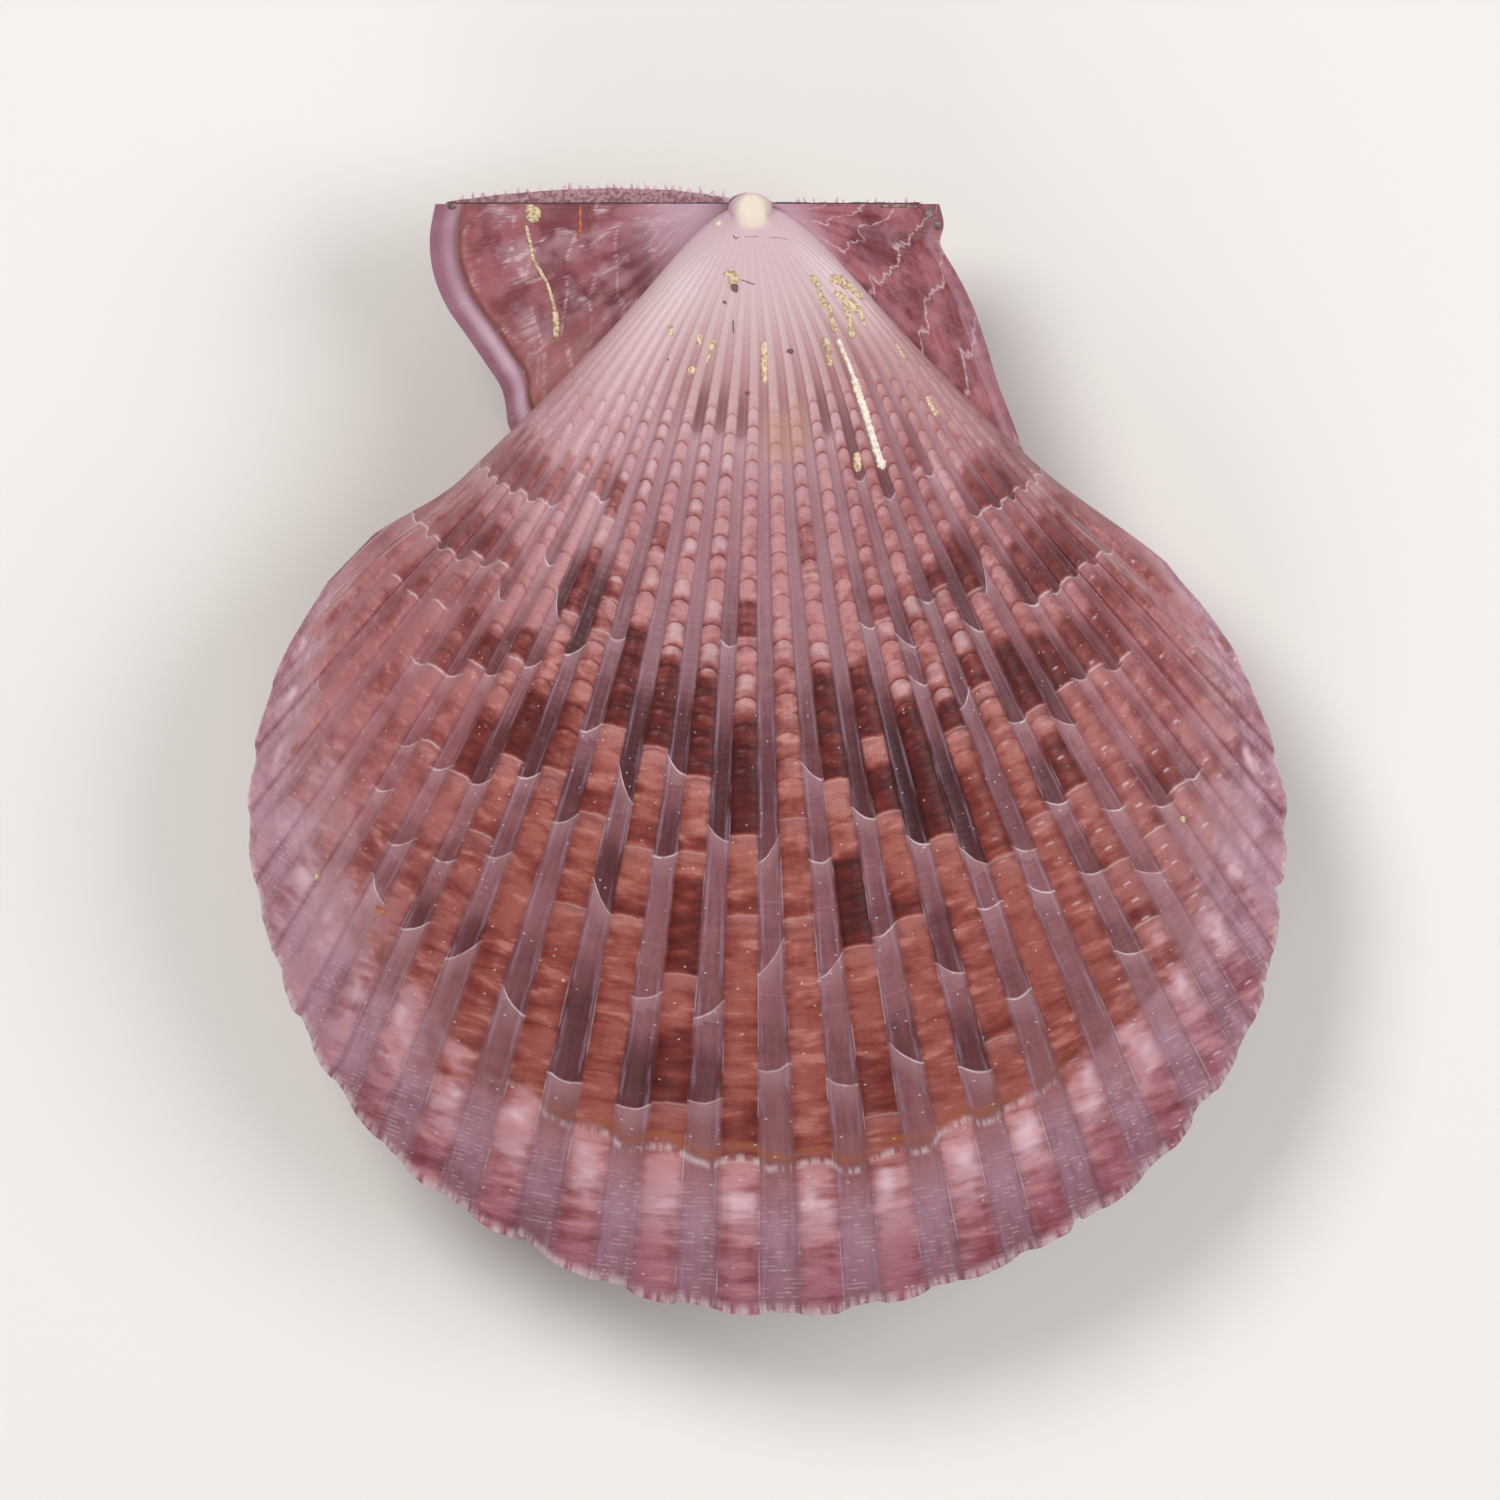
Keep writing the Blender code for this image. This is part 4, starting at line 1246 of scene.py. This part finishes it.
def disc_places(nodes):
    """What the disc's mesh keeps at each place, with the noises and zones made from it."""
    at = SimpleNamespace()
    at.lane, at.stage, at.reach = nodes.attribute("growth")
    at.rib_pigment, at.rib_edge, at.phase = nodes.attribute("ribs")
    at.groove_pigment, at.groove_edge, at.away = nodes.attribute("grooves")
    at.blotch, at.cream, at.stain = nodes.attribute("look")
    for name, (per_lane, per_mm, seed, detail, roughness) in FAN_NOISES.items():
        place = nodes.vector(at.lane * per_lane, at.reach * per_mm, seed)
        setattr(at, name, nodes.noise(place, 1.0, detail, roughness))
    at.ragged = at.rough.uneven(EDGE_RAGGEDNESS)
    at.aside = abs(at.lane) + at.lane.fall(-2.0, 0.0) * LEFT_LEAD
    at.flank = at.aside.step(*ASIDE_FLANK)
    at.outer = at.stage.step(CHECK_STAGE, 0.92)
    at.grown = at.reach.step(*REACH_GROWN)
    at.tone = at.stage + at.drift.uneven(0.24) * at.aside.step(*ASIDE_SOFT) * at.stage.step(0.6, 0.8)
    at.crest = (at.away / RIB_EDGE) ** 2.0
    softness = 0.03 + at.outer * 0.07 + at.reach.fall(6.0, 22.0) * 0.07 + at.flank * 0.10
    past_edge = at.away + at.rough.uneven(0.05) - RIB_EDGE
    at.rib = nodes.math("SUBTRACT", 0.5, past_edge / (softness * 2.0), clamp=True)
    return at


def scale_pigment_and_shade(nodes, at):
    """Pigment of the scales on the ribs, uneven among them, with painted shade: darker towards each scale's
    end, with a painted shadow line at its seam.
    """
    count = at.phase - at.crest * SCALE_ARCH
    at.within = count.fraction()
    at.scale_row, at.scale_rib = count.floor(), at.lane.round()
    at.number = nodes.dice(nodes.vector(at.scale_row, at.scale_rib))
    at.young = at.reach.step(*REACH_YOUNG) * at.reach.fall(*REACH_OLD)
    old = at.reach.step(*REACH_OLD) * at.stage.fall(0.80, 0.9) * 0.3
    strength = (at.young + old * at.number) * (1.0 - at.flank * 0.7)
    # Painted shade: each scale lighter at its start and darker towards its end; the number adds real
    # unevenness among the scales
    tint = at.within * at.within * 0.45 + at.number * 0.40 - 0.30
    # Painted shadow: a dark line where each scale meets the next
    seam_shadow = at.within.step(0.85, 0.97) + at.within.fall(0.0, 0.07)
    return (tint + seam_shadow * (0.14 + at.number * 0.55)) * strength


def pigment_depths(nodes, at):
    """Depth of the pigment on the ribs and in the grooves, with painted shade darkening the ribs' edges and
    the grooves along the ribs' feet.
    """
    deeper = at.lane.step(*LANE_DEEPER) * at.stage.step(0.12, 0.2) * at.stage.fall(0.4, 0.68) * 0.28
    deeper = deeper + at.aside.step(*ASIDE_LAST) * at.outer * 0.24
    dusk = at.stage.step(*STAGE_DUSK) * at.drift.step(0.42, 0.56)
    dusk = dusk * at.aside.step(*ASIDE_DUSK) * at.flank.fall(0.4, 1.0)
    whole = 1.0 - at.flank * 0.3

    patch = at.rib_pigment * (at.rib_edge + at.ragged).step(*RIB_CUT) * whole * (0.72 + at.bands * 0.6)
    mottle = (at.bands.uneven(2.6) * (1.0 - at.flank * 0.55) + at.blotch * (0.42 + at.flank * 0.35)
              + at.threads.uneven(0.5))
    # Painted shade: the crest term darkens each rib towards its edges, so that it reads as rounded
    rib_depth = (deeper + dusk * 0.14 + patch + scale_pigment_and_shade(nodes, at) + at.crest * at.grown * 0.24
                 + at.grown * mottle)

    at.clear_fronts = at.reach.step(*REACH_FRONTS)
    blur = 0.03 + (1.0 - at.clear_fronts) * 0.9
    cut = (at.groove_edge + at.ragged).step(blur * -1.0, blur)
    patch = at.groove_pigment * cut * whole * (0.8 + at.threads * 0.4)
    # Painted shade: the grooves darkened along the foot of each rib
    foot = at.away.near(RIB_EDGE + 0.015, 0.05)
    mottle = at.threads.uneven(0.9) + at.blotch * (0.22 + at.flank * 0.30) + at.bands.uneven(0.5)
    groove_depth = deeper + patch + foot * 0.16 + dusk * 0.10 + at.grown * mottle
    return rib_depth, groove_depth


def coat(nodes, at, part, depth, edge):
    """Colour of the ribs or of the grooves, under pigment, with a pale tail after each patch."""
    palette, flank_palette, absorption, pale = COATS[part]
    base = nodes.mix(at.flank, nodes.ramp(at.tone, palette), nodes.ramp(at.tone, flank_palette))
    color = nodes.mix(1.0, base, nodes.absorb(depth, absorption), "MULTIPLY")
    past = (edge + at.ragged) * -1.0
    return color.towards(PALE_COLOR, past.fall(0.0, PATCH_TAIL) * past.step(-0.02, 0.06) * pale)


def disc_color(nodes, at):
    """Ribs over grooves, before the fine lines and marks."""
    rib_depth, groove_depth = pigment_depths(nodes, at)
    ribs = coat(nodes, at, "ribs", rib_depth, at.rib_edge)
    salmon = at.bands.fall(0.30, 0.46) * at.grown * at.rib_pigment.fall(0.2, 0.8) * 0.36
    # Painted highlight: pale tops on some of the young scales
    white = (at.number.step(0.55, 0.95) * at.young * at.within.fall(0.5, 0.9)
             * at.rib_pigment.fall(0.1, 0.5) * at.away.fall(0.08, 0.3) * at.flank.fall(0.2, 0.7) * 0.32)
    ribs = ribs.towards(SALMON_COLOR, salmon).towards(BEAD_HIGHLIGHT_COLOR, white)
    grooves = coat(nodes, at, "grooves", groove_depth, at.groove_edge)
    sheen = at.away.near(RIB_EDGE + 0.06, 0.07) * at.threads.step(0.42, 0.6) * at.grown * 0.35
    grooves = grooves.towards(SHEEN_COLOR, sheen)
    grooves = grooves.towards(ribs, at.reach.fall(*REACH_SMOOTH) * 0.7)
    return grooves.towards(ribs, at.rib)


def front_line(edge, pigment, most):
    """The thin white line along a patch's closing edge."""
    return abs(edge + 0.04).fall(0.02, 0.085) * pigment.step(0.02, 0.2) * most


def pale_lines(at):
    """The white fronts of the patches, and painted highlights along the older ribs' edges."""
    ribs = front_line(at.rib_edge + at.ragged, at.rib_pigment, 0.5)
    ribs = ribs * (0.25 + at.flank * 0.75) * at.rib
    grooves = front_line(at.groove_edge + at.ragged, at.groove_pigment, 0.6) * (1.0 - at.rib)
    grooves = grooves * at.clear_fronts * at.rough.step(0.25, 0.5)
    grooves = grooves * (0.45 + at.drift.step(0.40, 0.58) * 0.55)
    # Painted highlight: thin pale lines along the edges of the older ribs
    edges = at.away.near(RIB_EDGE, 0.022) * at.threads.step(0.50, 0.66) * at.reach.step(24.0, 34.0) * 0.35
    return (ribs + grooves + edges).at_most(0.9)


def growth_marks(at):
    """Painted highlight band, growth check, rim, flank ridges, stain and worn umbo, as colours and shares.
    """
    central = at.aside.fall(*ASIDE_CENTRE)
    # Painted highlight: a pale pink band across the ribs just past the growth check
    painted_highlight_band = (at.stage + at.drift.uneven(0.10)).near(HIGHLIGHT_BAND_STAGE, 0.034)
    painted_highlight_band = painted_highlight_band * at.away.fall(0.04, RIB_EDGE + 0.05) * at.drift.step(0.36, 0.66) * 0.66
    check = (at.stage + at.rough.uneven(0.008)).near(CHECK_STAGE - 0.003, 0.007)
    after = at.stage.near(CHECK_STAGE + 0.008, 0.006)
    rim = at.stage.step(0.986, 0.998) * at.threads.step(0.38, 0.6) * 0.5
    ridge = (abs(at.lane) + at.drift.uneven(1.0)).near(FLANK_RIDGE, 0.45) * at.reach.step(17.0, 21.0)
    ridge = ridge * at.stage.fall(0.80, 0.95) * at.threads.step(0.40, 0.64) * 0.30
    return ((HIGHLIGHT_BAND_COLOR, painted_highlight_band),
            (CHECK_COLOR, check * central * at.bands.step(0.35, 0.6) * 0.8),
            (FRONT_COLOR, after * central * 0.45 * at.threads.step(0.4, 0.6)),
            (FRONT_COLOR, rim), (FRONT_COLOR, ridge),
            (STAIN_COLOR, at.stain * 0.45), (UMBO_CREAM, at.cream))


def pale_dots(nodes, at):
    """The fine lattice of the newest growth, dust specks and painted glints on some posterior scales."""
    cell = nodes.vector((at.lane * 11.0).floor(), (at.reach * 4.2).floor())
    dots = nodes.dice(cell).step(0.6, 0.85) * (at.reach * 26.4).sine().step(0.1, 0.8)
    lattice = dots * at.outer * (1.0 - at.rib * 0.8) * 0.20
    cell = nodes.vector((at.lane * 26.0).floor(), (at.reach * 12.0).floor(), 1.0)
    specks = nodes.dice(cell).step(0.9955, 0.9995) * at.reach.step(20.0, 28.0) * 0.45
    # Painted highlights: small pale glints on the ends of some posterior scales
    chance = nodes.dice(nodes.vector(at.scale_row, at.scale_rib, 4.0))
    painted_glints = at.within.near(0.12, 0.10) * at.away.fall(0.03, 0.11) * at.lane.step(*LANE_POSTERIOR)
    painted_glints = painted_glints * at.reach.step(22.0, 27.0) * chance.step(0.5, 0.75) * 0.5
    return painted_glints.at_least(lattice.at_least(specks))


def disc_material(name):
    """Pigmented ribs with scales and smooth grooves, with growth lines and dust."""
    nodes = Nodes(name)
    at = disc_places(nodes)
    color = disc_color(nodes, at).towards(FRONT_COLOR, pale_lines(at))
    for mark, share in growth_marks(at):
        color = color.towards(mark, share)
    color = color.towards(FRONT_COLOR, pale_dots(nodes, at))
    lamellae = (at.reach * 15.0 + at.blotch * 6.0).sine()
    fine = nodes.noise(nodes.position(), 7000.0, 1.0)
    crown = at.within.fall(0.0, 1.0) * at.reach.step(28.0, 36.0) * at.away.fall(0.1, 0.3) * 0.016
    relief = lamellae * 0.004 + fine * 0.016 + crown
    return nodes.finish(color, 0.34 + fine * 0.2 + at.bands * 0.08, relief, SHELL_SPECULAR)


def ear_places(nodes):
    """What the ears' mesh keeps at each place, with the noises made from it."""
    at = SimpleNamespace()
    at.share, at.ear, lane = nodes.attribute("ears")
    at.reach = nodes.attribute("growth")[2]
    at.anterior = lane.fall(0.0, 0.1)
    at.place = nodes.position()
    at.mottle = nodes.noise(at.place, 620.0, 3.0, 0.55)
    at.clouds = nodes.noise(nodes.vector(at.ear * 5.0, at.share * 9.0, 3.0), 1.0, 3.0, 0.55)
    at.threads = nodes.noise(nodes.vector(at.ear * 60.0, at.share * 10.0, 1.0), 1.0, 3.0)
    return at


def ear_rose(nodes, at):
    """The ears' mottled rose, paler in clouds and threads, and salmon next to the disc."""
    color = nodes.mix(at.mottle.step(0.40, 0.62), EAR_ROSE, EAR_DARK)
    near_disc = at.ear.fall(0.05, 0.30) * at.share.step(0.5, 0.75) * (0.1 + at.anterior * 0.6)
    for tint, share in ((EAR_DARK, at.anterior * 0.30),
                        (EAR_PALE, at.clouds.step(0.46, 0.66) * (0.22 + at.anterior * 0.16)),
                        (EAR_PALE, at.threads.step(0.5, 0.8) * 0.22),
                        (EAR_SALMON, near_disc)):
        color = color.towards(tint, share)
    return color


def ear_lines(nodes, at):
    """Pale lines: short oblique ones on the anterior ear, zigzags across the posterior."""
    oblique = at.ear * 4.0 + at.share * 5.0
    bolts = nodes.cracks(nodes.vector(oblique, at.share * 8.0)).fall(0.0, 0.09)
    bolts = bolts * at.clouds.step(0.42, 0.56) * at.threads.step(0.4, 0.6) * at.anterior * 0.42
    sweep = at.ear * -3.0 + at.share * 5.0 + at.clouds * 1.1 + 4.0
    zigzag = sweep.fraction().near(0.5, 0.06) * (1.0 - at.anterior) * at.threads.step(0.32, 0.5) * 0.55
    return bolts + zigzag


def ear_band(nodes, at):
    """The newest growth outside the ear line, with a pale streak, as a colour and a share."""
    streak = at.share.near(EAR_LINE + 0.028, 0.038) * (0.35 + at.ear.fall(0.2, 0.8) * 0.6)
    share = at.share.step(EAR_LINE - 0.004, EAR_LINE + 0.006) * (at.anterior * 0.65 + 0.35)
    return nodes.mix(streak, EAR_BAND, EAR_BAND_PALE), share


def ear_material(name):
    """Mottled rose ears with pale lines and a smooth mauve newest band."""
    nodes = Nodes(name)
    at = ear_places(nodes)
    rust = at.share.near(EAR_LINE - 0.04, 0.07) * at.anterior * at.threads.step(0.3, 0.7) * 0.5
    streaks = at.share.step(0.6, 0.95) * (1.0 - at.anterior) * at.threads.step(0.45, 0.65) * 0.4
    brown = (at.share + at.mottle.uneven(0.02)).near(EAR_LINE - 0.008, 0.014) * at.anterior * 0.85
    color = ear_rose(nodes, at)
    for tint, share in ((FRONT_COLOR, ear_lines(nodes, at)), (EAR_LILAC, at.reach.fall(2.0, 8.0) * 0.85),
                        (EAR_RUST, rust), (EAR_RUST, streaks), ear_band(nodes, at), (EAR_BROWN, brown)):
        color = color.towards(tint, share)
    fine = nodes.noise(at.place, 6000.0, 2.0)
    return nodes.finish(color, 0.36 + fine * 0.2, fine * 0.03 + at.threads * 0.03, SHELL_SPECULAR)


def inside_material():
    """Smooth pale inside; the dorsal fold that shows beyond the hinge is mottled rose."""
    nodes = Nodes("valve_inside")
    place = nodes.position()
    x, y, _ = nodes.parts(place)
    from_umbo = abs(x - UMBO_X)
    fold = y.step(UMBO_Y - 0.0003, UMBO_Y + 0.0001) * from_umbo.step(0.0009, 0.0016)
    grains = nodes.noise(place, 900.0, 3.0)
    fine = nodes.noise(place, 4000.0, 2.0)
    smooth = nodes.mix(grains.step(0.4, 0.7), INSIDE_COLOR, INSIDE_ROSE)
    rose = nodes.mix(fine.step(0.42, 0.6), FOLD_PALE, FOLD_ROSE)
    return nodes.finish(smooth.towards(rose, fold), 0.3 + grains * 0.15, grains * 0.01 + fine * fold * 0.06)


def grainy_material(name):
    """Two colours in grains of a size, with relief, for the small pieces."""
    color, dark, scale, roughness, relief, stretch = GRAINY[name]
    nodes = Nodes(name)
    place = nodes.wire("VectorMath", 0, {0: nodes.position(), 1: stretch}, operation="MULTIPLY")
    grains = nodes.noise(place, scale, 3.0)
    tone = nodes.mix(grains.step(0.42, 0.62), color, dark)
    return nodes.finish(tone, roughness + grains.uneven(0.3), grains * relief)


def along_path(path, step):
    """Evenly spaced places along a path, with the share of the way to each."""
    path = np.array(path)
    lengths = np.concatenate(([0.0], np.cumsum(np.hypot(*np.diff(path, axis=0).T))))
    count = max(4, int(math.ceil(lengths[-1] / step)) + 1)
    place = np.linspace(0.0, lengths[-1], count)
    places = np.stack([np.interp(place, lengths, path[:, axis]) for axis in (0, 1)], axis=-1)
    return places, place / lengths[-1]


def strip_solid(surface, path, width, rng):
    """A low uneven crust along a path on the shell, seen from above."""
    places, shares = along_path(path, STRIP_STEP)
    top = 5.0 * max(UMBO_Y, COMMISSURE_Z)
    rings = []
    for number, ((x, y), share) in enumerate(zip(places, shares)):
        before = places[max(number - 1, 0)]
        after = places[min(number + 1, len(places) - 1)]
        ahead = Vector((*(after - before), 0.0)).normalized()
        side = Vector((ahead.y, -ahead.x, 0.0))
        above = Vector((UMBO_X + x * MM, UMBO_Y + y * MM, top))
        hit, normal = surface.ray_cast(above, Vector((0, 0, -1)))[:2]
        if hit is None:
            continue
        side = (side - normal * side.dot(normal)).normalized()
        length = shares[-1] * max(len(places) - 1, 1)
        end = min(share, 1.0 - share) * length * STRIP_STEP / (0.5 * width)
        swell = math.sqrt(1.0 - (1.0 - min(end, 1.0)) ** 2) * 0.92 + 0.08
        ring = []
        for point in range(STRIP_POINTS):
            turn = 2.0 * math.pi * point / STRIP_POINTS
            half = 0.5 * width * MM * swell * rng.uniform(0.75, 1.15)
            rise = half * 2.0 * STRIP_HEIGHT * math.sin(turn)
            ring.append(hit + side * half * math.cos(turn) + normal * rise)
        rings.append(ring)
    return np.array(rings)


def spine_solid(base, tip, radius):
    """A small cone from a base to a tip."""
    axis = (tip - base).normalized()
    side = axis.orthogonal().normalized()
    other = axis.cross(side)
    rings = []
    for share, size in SPINE_RINGS:
        middle = base.lerp(tip, share)
        ring = []
        for point in range(SPINE_POINTS):
            turn = 2.0 * math.pi * point / SPINE_POINTS
            ring.append(middle + (side * math.cos(turn) + other * math.sin(turn)) * radius * size)
        rings.append(ring)
    return np.array(rings)


def hinge_edge(side):
    """The lower valve's hinge edge on one side, as places in order of x."""
    lane = float(FIRST_LANE if side < 0 else LAST_LANE)
    stages = np.linspace(0.004, NOTCH_DEEP if side < 0 else NOTCH_POSTERIOR, HINGE_PLACES)
    edge = (VALVES["lower"], np.full_like(stages, lane), np.ones_like(stages), stages)
    middle = (outer_points(*edge)[0] + inner_points(*edge)) / 2.0
    return middle[np.argsort(middle[:, 0])]


def hinge_spines(name):
    """Small spines along the folded dorsal edge of the lower valve and the other hinge end."""
    rng = np.random.default_rng(21)
    solids = []
    for side, spacing, length, radius, first, last in SPINE_ROWS:
        edge = hinge_edge(side)
        place = first
        while place < last:
            x = UMBO_X + side * place * MM
            base = Vector((x, *(np.interp(x, edge[:, 0], edge[:, axis]) for axis in (1, 2))))
            lean = Vector((rng.uniform(-0.5, 0.3), 1.0, rng.uniform(-0.1, 0.7))).normalized()
            tip = base + lean * length * MM * rng.uniform(0.5, 1.25)
            solids.append(spine_solid(base, tip, radius * MM * rng.uniform(0.7, 1.3)))
            place += spacing * rng.uniform(0.6, 1.4)
    return lofts(name, solids, grainy_material(name))


def build_ligament(name):
    """The dark dried strip of ligament between the hinge edges, slightly uneven."""
    rng = np.random.default_rng(31)
    middle_y = UMBO_Y + LIGAMENT_PROUD - 0.5 * LIGAMENT_WIDTH
    rings = []
    for x in np.linspace(LIGAMENT_START, LIGAMENT_END, LIGAMENT_SECTIONS):
        ring = []
        for point in range(LIGAMENT_POINTS):
            turn = 2.0 * math.pi * point / LIGAMENT_POINTS
            wide = 0.5 * LIGAMENT_WIDTH * rng.uniform(0.88, 1.0)
            thick = 0.5 * LIGAMENT_THICKNESS * rng.uniform(0.85, 1.0)
            z = COMMISSURE_Z + thick * math.sin(turn)
            ring.append((UMBO_X + x, middle_y + wide * math.cos(turn), z))
        rings.append(ring)
    return lofts(name, [np.array(rings)], grainy_material(name))


def build_deposits(upper):
    """Crusts, worm tube and bits, laid on the upper valve's surface."""
    surface = BVHTree.FromPolygons([vertex.co for vertex in upper.data.vertices],
                                   [face.vertices for face in upper.data.polygons])
    rng = np.random.default_rng(41)
    pieces = []
    for name, strips in STRIPS.items():
        solids = [strip_solid(surface, path, width, rng) for path, width in strips]
        solids = [solid for solid in solids if len(solid) > 2]
        pieces.append(lofts(name, solids, grainy_material(name)))
    return pieces


def add_floor():
    corners = [(FLOOR_HALF * x, FLOOR_HALF * y, 0.0) for x, y in ((-1, -1), (1, -1), (1, 1), (-1, 1))]
    nodes = Nodes("floor")
    nodes.plug(nodes.shader.inputs["Base Color"], FLOOR_COLOR)
    nodes.plug(nodes.shader.inputs["Roughness"], FLOOR_ROUGHNESS)
    link_mesh("floor", corners, [(0, 1, 2, 3)], [nodes.material])


def add_lights():
    for name, (place, size, power, color) in LIGHTS.items():
        data = bpy.data.lights.new(name, "AREA")
        data.shape = "DISK"
        data.size = size
        data.energy = power
        data.color = color
        lamp = bpy.data.objects.new(name, data)
        lamp.location = place
        lamp.rotation_euler = (-Vector(place)).to_track_quat("-Z", "Y").to_euler()
        bpy.context.scene.collection.objects.link(lamp)
    world = bpy.data.worlds.new("studio")
    world.use_nodes = True
    background = world.node_tree.nodes["Background"]
    background.inputs["Color"].default_value = WORLD_COLOR
    background.inputs["Strength"].default_value = WORLD_STRENGTH
    bpy.context.scene.world = world
    bpy.context.scene.view_settings.view_transform = "Standard"


def add_camera():
    data = bpy.data.cameras.new("camera")
    data.lens = LENS
    data.sensor_width = SENSOR
    data.clip_start, data.clip_end = CLIP
    camera = bpy.data.objects.new("camera", data)
    camera.location = (VIEW_X, VIEW_Y, COMMISSURE_Z + VIEW_WIDTH * LENS / SENSOR)
    bpy.context.scene.collection.objects.link(camera)
    bpy.context.scene.camera = camera


def main():
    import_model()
    inside = inside_material()
    pieces = {}
    for key, side in (("upper", "left_valve"), ("lower", "right_valve")):
        disc = disc_material(key + "_disc")
        valve = build_valve(key + "_valve", VALVES[key], [disc, ear_material(key + "_ears"), inside])
        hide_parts(side)
        scales = build_scales(key + "_scales", VALVES[key], disc)
        for piece in (valve, scales):
            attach(piece, "root")
        pieces[key] = valve
    ligament = build_ligament("ligament")
    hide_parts("hinge_ligament")
    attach(ligament, "root")
    for piece in [hinge_spines("hinge_spines"), *build_deposits(pieces["upper"])]:
        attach(piece, "root")
    add_floor()
    add_lights()
    add_camera()


main()
